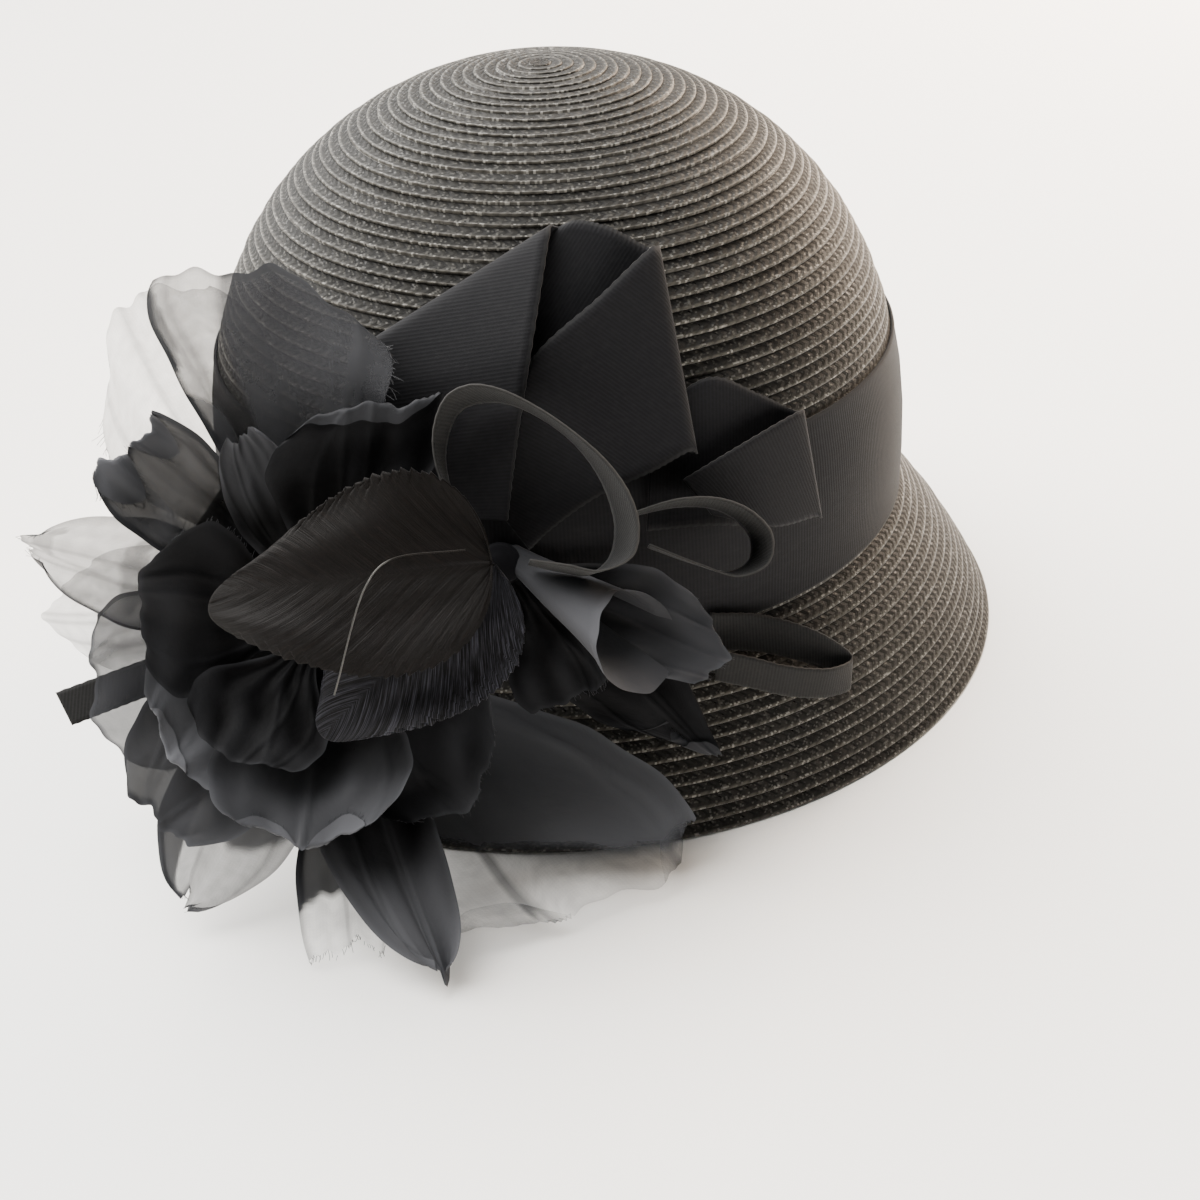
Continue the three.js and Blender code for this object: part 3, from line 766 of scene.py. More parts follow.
ribbon_piece("ribbon_free_end", "ribbon_tail", FREE_END, NARROW_CLOTH)

# %% [markdown]
# Organza is a crisp sheer cloth: a very open weave of fine shiny thread. One layer over white looks
# pale grey, two look darker, and a gathered mass is black. Glass-like transmission would be slow and
# would bend what is behind, so the shader's opacity comes from an attribute called cover, low at a
# single-layer tip and high where cloth is gathered. A second one called tone lifts the colour where
# the real petals catch the light. The weave is drawn coarser than life so that a trace of it shows.

# %% Organza finish
WEAVE_MM, SLUB_RELIEF_MM, SLUBS_PER_MM = 0.8, 0.6, 0.3


def organza_finish():
    """Sheer black organza: see-through by its cover, with a soft sheen."""
    finish, add, shader = new_finish("organza", {
        "Roughness": 0.6, "Sheen Weight": 0.03, "Sheen Roughness": 0.35, "Specular IOR Level": 0.05})
    uv = add("UVMap", uv_map="cloth")
    warp = add("SeparateXYZ", {"Vector": uv})
    weft = warp.node.outputs["Y"]
    warp_line = add("Math", {0: warp, 1: WEAVE_MM / 2}, operation="PINGPONG")
    weft_line = add("Math", {0: weft, 1: WEAVE_MM / 2}, operation="PINGPONG")
    crossing = add("Math", {0: warp_line, 1: weft_line}, operation="ADD")
    weave = add("MapRange", {"Value": crossing, 1: 0.0, 2: WEAVE_MM, 3: 0.96, 4: 1.04})
    slub = add("TexNoise", {"Vector": uv, "Scale": SLUBS_PER_MM, "Detail": 4.0})
    streak = add("MapRange", {"Value": slub, 1: 0.3, 2: 0.7, 3: 0.9, 4: 1.1})
    cover = add("Attribute", attribute_name="cover").node.outputs["Fac"]
    open_share = add("Math", {0: 1.0, 1: cover}, operation="SUBTRACT")
    woven = add("Math", {0: open_share, 1: weave}, operation="MULTIPLY")
    passing = add("Math", {0: woven, 1: streak}, operation="MULTIPLY")
    opacity = add("Math", {0: 1.0, 1: passing}, operation="SUBTRACT", use_clamp=True)
    tone = add("Attribute", attribute_name="tone").node.outputs["Fac"]
    colour = add("Mix", {"Factor": tone, "A": linear("070708"), "B": linear("5b5c60")}, data_type="RGBA")
    bump = add("Bump", {"Height": slub, "Strength": 0.35, "Distance": SLUB_RELIEF_MM * MM})
    fill_sockets(shader.inputs, {"Alpha": opacity, "Base Color": colour, "Normal": bump})
    return finish


organza = organza_finish()
print("finish:", organza.name)

# %% [markdown]
# Each petal leaves one of two bound posts in its own direction. A row of the table gives its post, its
# angle in degrees, its reach and width in mm, its lift at base, middle and tip, and how it leans, bows,
# cups and closes. A grid is laid out as a flat petal, then rolled and lifted as the solid is, so the
# finished cloth stays where its solid is.

# %% Petal shapes
POSTS = {"flower": (-32.0, -12.0, 6.0), "knot": (15.0, 3.0, 5.0)}
PETAL_FOOT_HALF = 4.0
LEAST_ROLL = 1e-4
PETAL_COLUMNS = ("post", "angle", "reach", "width", "base", "middle", "tip", "lean", "bow", "cup",
                 "blunt", "round", "slant", "widest")
PETALS = {
    "back_upper": ("flower", 119, 93, 50, -9, 1, 5, -6, 0, 8, 0.8, 0.12, -0.06, 0.85),
    "upright": ("flower", 95, 85, 60, -5, 18, 26, -8, 0, 6, 0.95, 0.1, 0.16, 0.95),
    "curled": ("flower", 133, 63, 30, -2, 10, 20, 0, 0, 30, 0.75, 0.05, 0, 0.8),
    "left": ("flower", 161, 76, 27, -7, 0, 6, 0, 2, 20, 0.3, 0.05, 0, 0.6),
    "left_back": ("flower", 174, 72, 34, -11, -9, -6, 0, 0, 8, 0.7, 0.15, 0, 0.7),
    "lower_left": ("flower", 196, 59, 46, -3.2, 5, 9, 0, 0, 8, 0.85, 0.14, 0, 0.7),
    "low": ("flower", 229, 62, 40, -1.4, 9, 14, 0, 0, 8, 0.6, 0.1, 0, 0.7),
    "pointed": ("flower", 245, 75, 34, -5, 3.6, 9, 0, -3, 8, 0.1, 0, 0, 0.6),
    "bottom_blunt": ("flower", 276, 79, 26, -7.5, 1, 16, 0, 0, 8, 0.85, 0.03, 0, 0.8),
    "bottom_point": ("flower", 280, 86, 31, -3, 12, 26, 0, 16, 12, 0.1, 0, 0, 0.5),
    "bottom_wide": ("flower", 315, 101, 64, -9.5, -5, 6, -10, 0, 6, 0.9, 0.16, 0.14, 0.85),
    "brim": ("knot", 316, 71, 32, 10, 0, -2, 0, 0, 8, 0.15, 0.2, 0, 0.55),
    "lobe": ("knot", 337, 57, 24, 12, 11, 14, 0, 0, 20, 0.9, 0.12, -0.08, 0.75),
    "small": ("knot", 297, 38, 26, 14, 13, 13, 0, 0, 15, 0.9, 0.12, 0, 0.75),
    "bowl_left": ("flower", 224, 45, 46, 3, 10, 20, 0, 0, 10, 0.8, 0.15, 0, 0.7),
    "bowl_bottom": ("flower", 270, 50, 50, 6.5, 15, 27, 0, 0, 10, 0.8, 0.15, 0, 0.7),
    "bowl_right": ("flower", 312, 56, 44, 3, 8, 18, 0, 0, 10, 0.75, 0.15, 0, 0.7),
    "folded": ("flower", 71, 56, 36, 7.5, 24, 33, 0, 0, 8, 0.9, 0.08, -0.2, 0.8),
    "sliver": ("flower", 106, 49, 20, 3, 14, 26, 0, 0, 12, 0.4, 0.05, 0, 0.6),
    "inner_left": ("flower", 168, 40, 42, 6.5, 16, 25, 0, 0, 15, 0.75, 0.15, 0, 0.7),
    "inner_lower": ("flower", 240, 34, 36, 11, 18, 28, 0, 0, 15, 0.75, 0.15, 0, 0.7),
}


def smooth(x, low, high):
    """Smooth step of an array from 0 to 1."""
    y = np.clip((x - low) / (high - low), 0, 1)
    return y * y * (3 - 2 * y)


def petal_half(row, s):
    """Half width along a petal: narrow foot, full at its widest place, closing to the tip."""
    full = PETAL_FOOT_HALF + (row["width"] / 2 - PETAL_FOOT_HALF) * smooth(s, 0, row["widest"])
    past = np.clip((s - row["widest"]) / (1 - row["widest"]), 0, 1)
    return full * np.sqrt(1 - (1 - row["blunt"] ** 2) * past ** 2)


def petal_flat(row, s, t, stretch=1.0, spread=1.0, start=None):
    """Petal in the trim frame: x, y and lift; stretch and spread make its outline uneven."""
    x, y, radius = POSTS[row["post"]]
    angle, start = math.radians(row["angle"]), radius + SEWN_GAP if start is None else start
    half = petal_half(row, s) * spread
    roll = math.radians(row["cup"]) * s + LEAST_ROLL
    side = half * np.sin(roll * t) / roll + row["bow"] * s * s
    out = start + (row["reach"] - start) * s * (1 - row["round"] * t * t + row["slant"] * t) * stretch
    sag = row["middle"] - (row["base"] + row["tip"]) / 2
    lift = row["base"] + (row["tip"] - row["base"]) * s + 4 * sag * s * (1 - s)
    lift = lift + row["lean"] * t * s + half * (1 - np.cos(roll * t)) / roll
    across = (math.cos(angle), math.sin(angle))
    return x + across[0] * out - across[1] * side, y + across[1] * out + across[0] * side, lift


print(len(PETALS), "petals, the longest in mm:", max(row[2] for row in PETALS.values()))

# %% [markdown]
# Every petal's cloth has its own numbers: cover at foot and tip, tone, height of its ruffles and
# crumples in mm, how strongly its left side, right side and tip are rolled into a thin dark line, and
# a seed. A few tips fold over in lens shapes, each given by its centre, half width and depth along the
# petal: there really are two layers there, so the darker lenses of sheer cloth come by themselves.
# Other cloth only looks double: such a patch has its centre and half size along and across, its slant
# and its share of shade.

# %% Petal cloth
PETAL_CLOTH = {
    "back_upper": (0.6, 0.38, 0.5, 1.6, 0.35, 0.1, 0.1, 0.1, 11),
    "upright": (1.0, 0.66, 0.08, 1.4, 0.4, 0.35, 0.0, 0.15, 12),
    "curled": (1.0, 0.97, 0.24, 2.0, 0.8, 0.1, 0.2, 0.2, 13),
    "left": (0.9, 0.66, 0.3, 1.8, 0.4, 0.35, 0.1, 0.15, 14),
    "left_back": (0.7, 0.42, 0.35, 1.0, 0.3, 0.0, 0.0, 0.0, 15),
    "lower_left": (0.98, 0.84, 0.3, 1.4, 0.4, 0.1, 0.2, 0.15, 16),
    "low": (1.0, 0.975, 0.3, 1.4, 0.5, 0.2, 0.1, 0.2, 17),
    "pointed": (1.0, 0.72, 0.3, 1.2, 0.4, 0.1, 0.4, 0.1, 18),
    "bottom_blunt": (1.0, 0.12, 0.3, 1.2, 0.3, 0.0, 0.4, 0.0, 19),
    "bottom_point": (1.0, 1.0, 0.46, 1.2, 0.5, 0.0, 0.0, 0.0, 20),
    "bottom_wide": (1.0, 0.15, 0.34, 1.4, 0.3, 0.1, 0.1, 0.15, 21),
    "brim": (1.0, 1.0, 0.1, 1.2, 0.5, 0.1, 0.1, 0.1, 22),
    "lobe": (1.0, 0.97, 0.34, 1.6, 0.5, 0.0, 0.0, 0.0, 23),
    "small": (1.0, 1.0, 0.08, 1.4, 0.5, 0.0, 0.0, 0.0, 24),
    "bowl_left": (1.0, 0.97, 0.55, 1.6, 0.7, 0.0, 0.0, 0.0, 25),
    "bowl_bottom": (1.0, 0.97, 0.4, 1.8, 0.7, 0.0, 0.0, 0.0, 26),
    "bowl_right": (1.0, 1.0, 0.12, 1.6, 0.7, 0.0, 0.0, 0.0, 27),
    "folded": (1.0, 1.0, 0.05, 1.0, 0.5, 0.0, 0.0, 0.0, 28),
    "sliver": (1.0, 1.0, 0.45, 0.8, 0.3, 0.0, 0.0, 0.0, 29),
    "inner_left": (1.0, 1.0, 0.14, 1.4, 0.5, 0.0, 0.0, 0.0, 30),
    "inner_lower": (1.0, 1.0, 0.06, 1.4, 0.4, 0.0, 0.0, 0.0, 31),
}
TIP_FOLDS = {
    "folded": [(0.0, 1.0, 0.1)],
    "bottom_wide": [(-0.62, 0.36, 0.1), (0.7, 0.26, 0.08)],
    "curled": [(0.55, 0.45, 0.22), (-0.45, 0.45, 0.16)],
    "bowl_bottom": [(0.35, 0.4, 0.12), (-0.5, 0.4, 0.08)],
    "bowl_left": [(-0.3, 0.5, 0.1)],
    "lobe": [(0.5, 0.4, 0.1)],
    "brim": [(-0.25, 0.6, 0.1)],
}
FOLDED_FORWARD = ("folded", "bowl_bottom", "bowl_left", "curled", "brim")
SECOND_LAYER_END = {"bottom_blunt": 0.84}
DOUBLED = {
    "upright": [(0.8, -0.3, 0.8, 0.76, 0, 0.65), (0.84, 0.97, 0.13, 0.1, 0, 0.6),
                (0.52, 0.95, 0.13, 0.3, 0, 0.7)],
    "left": [(0.62, 0.1, 0.05, 0.75, 0, 0.45), (0.93, -0.3, 0.04, 0.5, 0, 0.35)],
    "lower_left": [(0.4, -0.2, 0.3, 0.6, 0, 0.7)],
    "pointed": [(0.72, -0.8, 0.3, 0.3, 0, 0.9), (0.45, 0.2, 0.33, 0.9, 0, 0.9)],
    "curled": [(0.8, 0.6, 0.3, 0.35, 0, 0.5)],
    "bottom_wide": [(0.72, -0.45, 0.3, 0.04, 0, 0.55), (0.4, 0, 0.43, 9, 0.22, 0.92)],
}
print(len(TIP_FOLDS), "petals with tips turned over and", len(DOUBLED), "with doubled cloth")

# %% [markdown]
# Threads and wires are curves with a round bevel, because that keeps them even along any path. Once
# the paths are right the curve is made a mesh, so that it can be placed and exported as the other
# pieces are. The first use is loose organza thread: one dark filament, too thin to show its twist.

# %% Round strands
TWISTS_PER_METRE = 900.0


def fray_finish():
    """Loose organza thread: a single dark filament with a little shine."""
    finish, add, shader = new_finish("organza_thread", {"Roughness": 0.5, "Specular IOR Level": 0.3})
    twist = add("TexNoise", {"Scale": TWISTS_PER_METRE, "Detail": 2.0})
    colour = add("Mix", {"Factor": twist, "A": linear("141416"), "B": linear("2e2f33")},
                 data_type="RGBA")
    fill_sockets(shader.inputs, {"Base Color": colour})
    return finish


def round_strands(name, paths, radius_mm, corners):
    """One mesh of round strands along paths of points in metres."""
    bpy.ops.object.select_all(action="DESELECT")
    bpy.ops.curve.primitive_nurbs_path_add(location=(0, 0, 0))
    strands = bpy.context.active_object
    strands.name = name
    strands.data.splines.clear()
    for path in paths:
        spline = strands.data.splines.new("POLY")
        spline.points.add(len(path) - 1)
        spline.points.foreach_set("co", np.column_stack([path, np.ones(len(path))]).ravel())
    strands.data.dimensions = "3D"
    strands.data.bevel_depth = radius_mm * MM
    strands.data.bevel_resolution = corners
    strands.data.use_fill_caps = True
    only_select(strands)
    bpy.ops.object.convert(target="MESH")
    return bpy.context.active_object


fray = fray_finish()
print("finish:", fray.name)

# %% [markdown]
# Cut edges of organza fray. A row of the table gives the edge of the petal, the stretch of it, the
# number of loose threads and their length in mm. A hair system would be quicker to set up, but it
# isn't a mesh. Each thread starts inside the cloth, goes on past the edge and curls a little.

# %% Frayed edges
FRAYED = {
    "back_upper": ("left", 0.35, 0.98, 50, 3.0), "upright": ("right", 0.55, 1.0, 45, 2.2),
    "curled": ("tip", 0.35, 1.0, 45, 2.6), "left": ("tip", 0.0, 1.0, 26, 1.6),
    "bottom_blunt": ("tip", 0.0, 1.0, 60, 1.6), "bowl_bottom": ("tip", 0.0, 1.0, 40, 1.2),
    "bowl_right": ("tip", 0.0, 1.0, 40, 1.4), "lower_left": ("left", 0.5, 1.0, 24, 1.2),
    "small": ("tip", 0.0, 1.0, 36, 1.2), "inner_left": ("right", 0.3, 1.0, 30, 1.2),
    "pointed": ("tip", 0.0, 1.0, 16, 1.0), "lobe": ("tip", 0.0, 1.0, 30, 1.0),
}
FRAY_RADIUS_MM = 0.06
FRAY_STEPS = (-0.1, 0.35, 0.7, 1.0)
FRAY_SPREAD, FRAY_CURL, FRAY_SHORTEST = 0.5, 0.4, 0.3
PETAL_CELLS = (72, 56)


def frayed_threads(name, piece, rng):
    """Loose thread ends along part of a petal's cut edge."""
    side, first, last, count, length = FRAYED[name]
    cloth = read_points(piece).reshape(PETAL_CELLS[0] + 1, PETAL_CELLS[1] + 1, 3)
    turned = cloth.transpose(1, 0, 2)
    cloth = {"tip": cloth[::-1], "left": turned[::-1], "right": turned}[side]
    paths = []
    for place in rng.uniform(first, last, count) * (cloth.shape[1] - 1):
        root, inner = cloth[0, int(place)], cloth[2, int(place)]
        out = (root - inner) / np.linalg.norm(root - inner) + rng.uniform(-FRAY_SPREAD, FRAY_SPREAD, 3)
        curl = rng.uniform(-FRAY_CURL, FRAY_CURL, 3)
        reach = length * MM * rng.uniform(FRAY_SHORTEST, 1.0)
        paths.append([root + reach * (u * out + u * u * curl) for u in FRAY_STEPS])
    threads = round_strands(piece.name + "_fray", paths, FRAY_RADIUS_MM, 0)
    settle(threads, fray, "organza")
    return threads


print(len(FRAYED), "petals fray, with", sum(row[3] for row in FRAYED.values()), "loose threads")

# %% [markdown]
# The folds could come from a cloth simulation, but a sewn and pressed flower has to keep its outline.
# So heights are added up over the flat petal: a slow ruffle that grows to the edge, pleats where it is
# gathered, fine crumples, sharp creases and rolled edges. Sums of sine waves with seeded phases give
# the same petal on every run.

# %% Seeded waves and turned tips
RAGGED_TIP = ((0.03, 3.3), (0.016, 8.0), (0.007, 19.0))
RAGGED_SIDES = ((0.035, 6.0), (0.02, 14.0), (0.01, 29.0))
TURN_SHARE = 0.012


def crumple(rng, s, t, waves, count):
    """Sum of slow sine waves with seeded directions, between about -1 and 1."""
    total = np.zeros_like(s)
    for _ in range(count):
        direction, phase = rng.uniform(0, math.pi), rng.uniform(0, FULL_TURN)
        pace = waves * rng.uniform(0.6, 1.4) * math.pi
        total += np.sin(pace * (math.cos(direction) * s * 2 + math.sin(direction) * t) + phase)
    return total / count ** 0.5


def seeded_edge(rng, waves):
    """Function that gives an edge's ragged height at a place, from pairs of height and pace."""
    phased = [(height, pace, rng.uniform(0, FULL_TURN)) for height, pace in waves]
    return lambda at: sum(height * np.sin(pace * at + phase) for height, pace, phase in phased)


def turned_tip(name, s, t):
    """Place along the petal once its tip is turned over, and whether it is past the fold."""
    lenses = [depth * np.clip(1 - ((t - at) / half) ** 2, 0, 1)
              for at, half, depth in TIP_FOLDS.get(name, [])]
    reached = s * (1 + sum(lenses)) if lenses else s
    past = np.clip(reached - 1, 0, None)
    return reached - 2 * past, smooth(past, 0, TURN_SHARE)


print("ragged by up to", round(sum(height for height, _ in RAGGED_TIP), 3), "of a petal's reach")

# %% [markdown]
# The heights of a petal are first worked out as shares, from about -1 to 1, and each is faded in along
# the petal over a range of s, which runs from 0 at the foot to 1 at the tip. Later they get their own
# height in mm. Displace modifiers could do this too, but their textures don't run from foot to tip.

# %% Petal heights
RUFFLE_PACE, RUFFLE_TWIST, RUFFLE_GROWTH = 3.4, 1.5, 1.4
RUFFLE_MIDDLE, RUFFLE_EDGE = 0.3, 0.7
PLEAT_PACE, PLEAT_RANGE = 5 * math.pi, (0, 0.08)
CRUMPLE_PACE, CRUMPLE_WAVES, CRUMPLE_RANGE = 3.0, 7, (0.05, 0.3)
CREASES, CREASE_HALF, CREASE_RANGE = 3, 0.035, (0.15, 0.5)
CREASE_PLACE, CREASE_LEAN = 0.8, 0.6
ROLL_REACH_MM = 1.0


def petal_heights(rng, phases, creases, s, t):
    """Ruffle, pleats, crumples and creases over a petal, as shares."""
    ruffle = np.sin(RUFFLE_PACE * t + phases[6] + RUFFLE_TWIST * s)
    ruffle = ruffle * (RUFFLE_MIDDLE + RUFFLE_EDGE * np.abs(t)) * s ** RUFFLE_GROWTH
    pleat = np.cos(PLEAT_PACE * t + phases[7]) * (1 - s) ** 2 * smooth(s, *PLEAT_RANGE)
    fine = crumple(rng, s, t, CRUMPLE_PACE, CRUMPLE_WAVES) * smooth(s, *CRUMPLE_RANGE)
    crease = sum(np.exp(-((t - at - lean * (s - 0.5)) / CREASE_HALF) ** 2) for at, lean in creases)
    return ruffle, pleat, fine, crease * smooth(s, *CREASE_RANGE)


def rolled_edges(row, rolls, s, t):
    """Share of a petal's left side, right side and tip that is rolled into a thin line."""
    half = petal_half(row, s)
    gaps = ((1 - t) * half, (1 + t) * half, (1 - s) * row["reach"])
    return sum(share * np.exp(-(gap / ROLL_REACH_MM) ** 2) for share, gap in zip(rolls, gaps))


print("creases in a petal:", CREASES)

# %% [markdown]
# The same shares say how much cloth lies at a point, which is its cover, and how much light it catches,
# which is its tone. Creases, rolled edges and double cloth cover more. Turned tips and cut edges, the
# hems, catch the light. Painting this by hand would have to be done again after every change of shape.

# %% Cover and tone of a petal
PATCH_EDGE = 0.25
COVER_RANGE, CREASE_SHADE, LEAST_COVER = (0.25, 0.8), 0.3, 0.02
SECOND_LAYER_COVER, SECOND_LAYER_EDGE = 0.97, 0.015
SECOND_LAYER_SWING, SECOND_LAYER_PACE = 0.02, 4
STREAK_DEPTH, STREAK_FADE, STREAK_PACES = 0.25, 0.6, (11, 4)
LIT_RANGE, TURNED_TONE, DOUBLE_TONE, CRUMPLE_TONE = (0.45, 0.95), 0.2, 0.35, 0.03
HEM_TONE, HEM_TONE_SHARE = 0.06, 0.3


def single_share(name, s, t):
    """How single the cloth is: 1, and less in the patches that look double."""
    single = np.ones_like(s)
    for mid_s, mid_t, half_s, half_t, slant, share in DOUBLED.get(name, []):
        away = ((s - slant * t - mid_s) / half_s) ** 2 + ((t - mid_t) / half_t) ** 2
        single = single * (1 - share * smooth(1 - away, 0, PATCH_EDGE))
    return single


def petal_cover(name, phases, s, t, single, crease, rolled):
    """How much of what is behind a petal its cloth hides."""
    foot_cover, tip_cover = PETAL_CLOTH[name][:2]
    cover = foot_cover + (tip_cover - foot_cover) * smooth(s, *COVER_RANGE)
    if name in SECOND_LAYER_END:
        inside = SECOND_LAYER_END[name] + SECOND_LAYER_SWING * np.sin(SECOND_LAYER_PACE * t) - s
        second = smooth(inside, -SECOND_LAYER_EDGE, SECOND_LAYER_EDGE)
        cover = tip_cover + (SECOND_LAYER_COVER - tip_cover) * second
    streak = STREAK_DEPTH * (1 - STREAK_FADE * s)
    for pace, phase in zip(STREAK_PACES, phases):
        streak = streak * np.sin(pace * t + phase)
    creased = 1 - CREASE_SHADE * np.clip(crease, 0, 1)
    return np.clip(1 - (1 - cover) * single * creased * (1 + streak) + rolled, LEAST_COVER, 1)


def petal_tone(row, tone, s, t, single, turned, fine):
    """How much light a petal's cloth catches."""
    to_side, to_tip = (1 - np.abs(t)) * petal_half(row, s), (1 - s) * row["reach"]
    hem = np.exp(-to_side ** 2) + np.exp(-to_tip ** 2)
    lit = tone * smooth(s, *LIT_RANGE) + TURNED_TONE * turned + DOUBLE_TONE * (1 - single)
    lit = lit + (HEM_TONE + HEM_TONE_SHARE * tone) * np.clip(hem, 0, 1)
    return np.clip(lit + CRUMPLE_TONE * fine, 0, 1)


print("cover of a second layer:", SECOND_LAYER_COVER)

# %% [markdown]
# Now every petal is made. Its grid is moved by the heights, and its cover and tone are kept as
# attributes of the vertices, because a node can read those in any view. A picture texture would need
# a file. Its flat size is that of the cut cloth before it is gathered.

# %% Petals
PLEAT_MM, CREASE_MM, TURNED_MM, ROLLED_MM = 0.5, 0.4, 0.9, 0.8
AREA_STEPS = 200


def give_values(piece, values):
    """Float attributes, each with one value per vertex."""
    for name, numbers in values.items():
        attribute = piece.data.attributes.new(name, "FLOAT", "POINT")
        attribute.data.foreach_set("value", np.ascontiguousarray(numbers, np.float32))


def organza_petal(name):
    """One ruffled petal with its cover, tone, loose threads and flat cut."""
    row = dict(zip(PETAL_COLUMNS, PETALS[name]))
    tone, ruffle_mm, crumple_mm, *rolls, seed = PETAL_CLOTH[name][2:]
    rng = np.random.default_rng(seed)
    phases = rng.uniform(0, FULL_TURN, 8)
    farthest = (CREASE_PLACE, CREASE_LEAN)
    creases = rng.uniform(np.negative(farthest), farthest, (CREASES, 2))
    ragged_tip, ragged_sides = seeded_edge(rng, RAGGED_TIP), seeded_edge(rng, RAGGED_SIDES)
    turned_mm = TURNED_MM if name in FOLDED_FORWARD else -TURNED_MM
    kept = {}

    def place(s, t):
        s, turned = turned_tip(name, s, t)
        x, y, lift = petal_flat(row, s, t, 1 + ragged_tip(t) * s, 1 + ragged_sides(s))
        ruffle, pleat, fine, crease = petal_heights(rng, phases, creases, s, t)
        rolled, single = rolled_edges(row, rolls, s, t), single_share(name, s, t)
        kept["cover"] = petal_cover(name, phases, s, t, single, crease, rolled)
        kept["tone"] = petal_tone(row, tone, s, t, single, turned, fine)
        lift = lift + ruffle_mm * ruffle + PLEAT_MM * pleat + crumple_mm * fine + CREASE_MM * crease
        return from_trim(x, y, lift + turned_mm * turned + ROLLED_MM * rolled)

    piece, s, t = cloth_grid("organza_" + name, *PETAL_CELLS, place)
    uv = np.stack([t * petal_half(row, s), s * row["reach"]], 1)
    give_uv(piece, "cloth", uv[face_corners(piece)])
    give_values(piece, kept)
    settle(piece, organza, "organza", "petal_" + name)
    length = row["reach"] - POSTS[row["post"]][2]
    area = 2 * petal_half(row, np.linspace(0, 1, AREA_STEPS)).mean() * length
    loose = [frayed_threads(name, piece, rng)] if name in FRAYED else []
    print(piece.name, "cut in mm:", row["width"], "by", round(length), "area", round(area))


for petal_name in PETALS:
    organza_petal(petal_name)

# %% [markdown]
# One more petal, at the right of the bow, is rolled into an open trumpet whose mouth faces out and to
# the right. A cone primitive would be too regular, so a grid is wrapped most of the way round an axis.
# The wrap stays open behind, and its mouth is crumpled and ragged as cut cloth is.

# %% Trumpet petal
TRUMPET_ROOT, TRUMPET_MOUTH = np.array([18.0, 4.0, 22.0]), np.array([45.5, -15.5, 31.0])
TRUMPET_RADII, TRUMPET_WRAP, TRUMPET_CELLS = (3.0, 10.8), math.radians(300), (48, 72)
TRUMPET_CLOTH_HALF, TRUMPET_SEED = 24, 41
MOUTH_UP, MOUTH_BACK = np.array([0.08, 1.0, 0.0]), np.array([0.62, 0.0, -0.78])
TRUMPET_OPENING, MOUTH_CRUMPLE_MM, WRAP_GROWTH_MM = 1.2, 0.3, 0.5
MOUTH_FLARE_MM, FLARE_RANGE = 0.9, (0.88, 1.0)
MOUTH_RAGGED, MOUTH_NOTCHES, NOTCH_PACE = 0.03, 0.008, 24
LONGER_SIDES, SIDES_RANGE = 0.12, (0.35, 0.9)
TRUMPET_TONE, MOUTH_TONE, BACK_SHADE, TRUMPET_MOTTLE = 0.4, 0.25, 0.35, 0.05
SLOW_CRUMPLE = (1.6, 5)


def trumpet_petal():
    """Petal rolled into an open trumpet."""
    axis = TRUMPET_MOUTH - TRUMPET_ROOT
    length = np.linalg.norm(axis)
    rng = np.random.default_rng(TRUMPET_SEED)
    kept = {}

    def place(s, t):
        turn = t * TRUMPET_WRAP / 2 - math.pi / 2
        fine = crumple(rng, s, t, *SLOW_CRUMPLE)
        radius = TRUMPET_RADII[0] + (TRUMPET_RADII[1] - TRUMPET_RADII[0]) * s ** TRUMPET_OPENING
        radius = radius + MOUTH_FLARE_MM * smooth(s, *FLARE_RANGE)
        radius = radius + MOUTH_CRUMPLE_MM * fine + WRAP_GROWTH_MM * t
        ragged = (MOUTH_RAGGED * fine + MOUTH_NOTCHES * np.sin(NOTCH_PACE * t)) * s
        along = s * (1 + LONGER_SIDES * smooth(np.abs(t), *SIDES_RANGE)) + ragged
        p = (TRUMPET_ROOT + along[:, None] * axis + (radius * np.cos(turn))[:, None] * MOUTH_UP
             + (radius * np.sin(turn))[:, None] * MOUTH_BACK)
        kept["cover"] = np.ones_like(s)
        lit = TRUMPET_TONE + MOUTH_TONE * s - BACK_SHADE * np.abs(t)
        kept["tone"] = np.clip(lit + TRUMPET_MOTTLE * fine, 0, 1)
        return from_trim(*p.T)

    piece, s, t = cloth_grid("organza_rolled", *TRUMPET_CELLS, place)
    uv = np.stack([t * TRUMPET_CLOTH_HALF, s * length], 1)
    give_uv(piece, "cloth", uv[face_corners(piece)])
    give_values(piece, kept)
    settle(piece, organza, "organza", "petal_rolled")


trumpet_petal()

# %% [markdown]
# The leaves are brown-black cloth with a satin face, pressed in a hot mould. Satin shines along its
# threads, so a noise texture is drawn out along the side veins, and it varies gloss and bump together
# with the colour, whose lighter streaks are painted sheen. The lower leaf's streaks are painted much
# lighter, so it looks the shinier one.

# %% Leaf finish
STREAK_SCALE, STREAK_RELIEF_MM = (2.2, 0.16, 1.0), 0.5


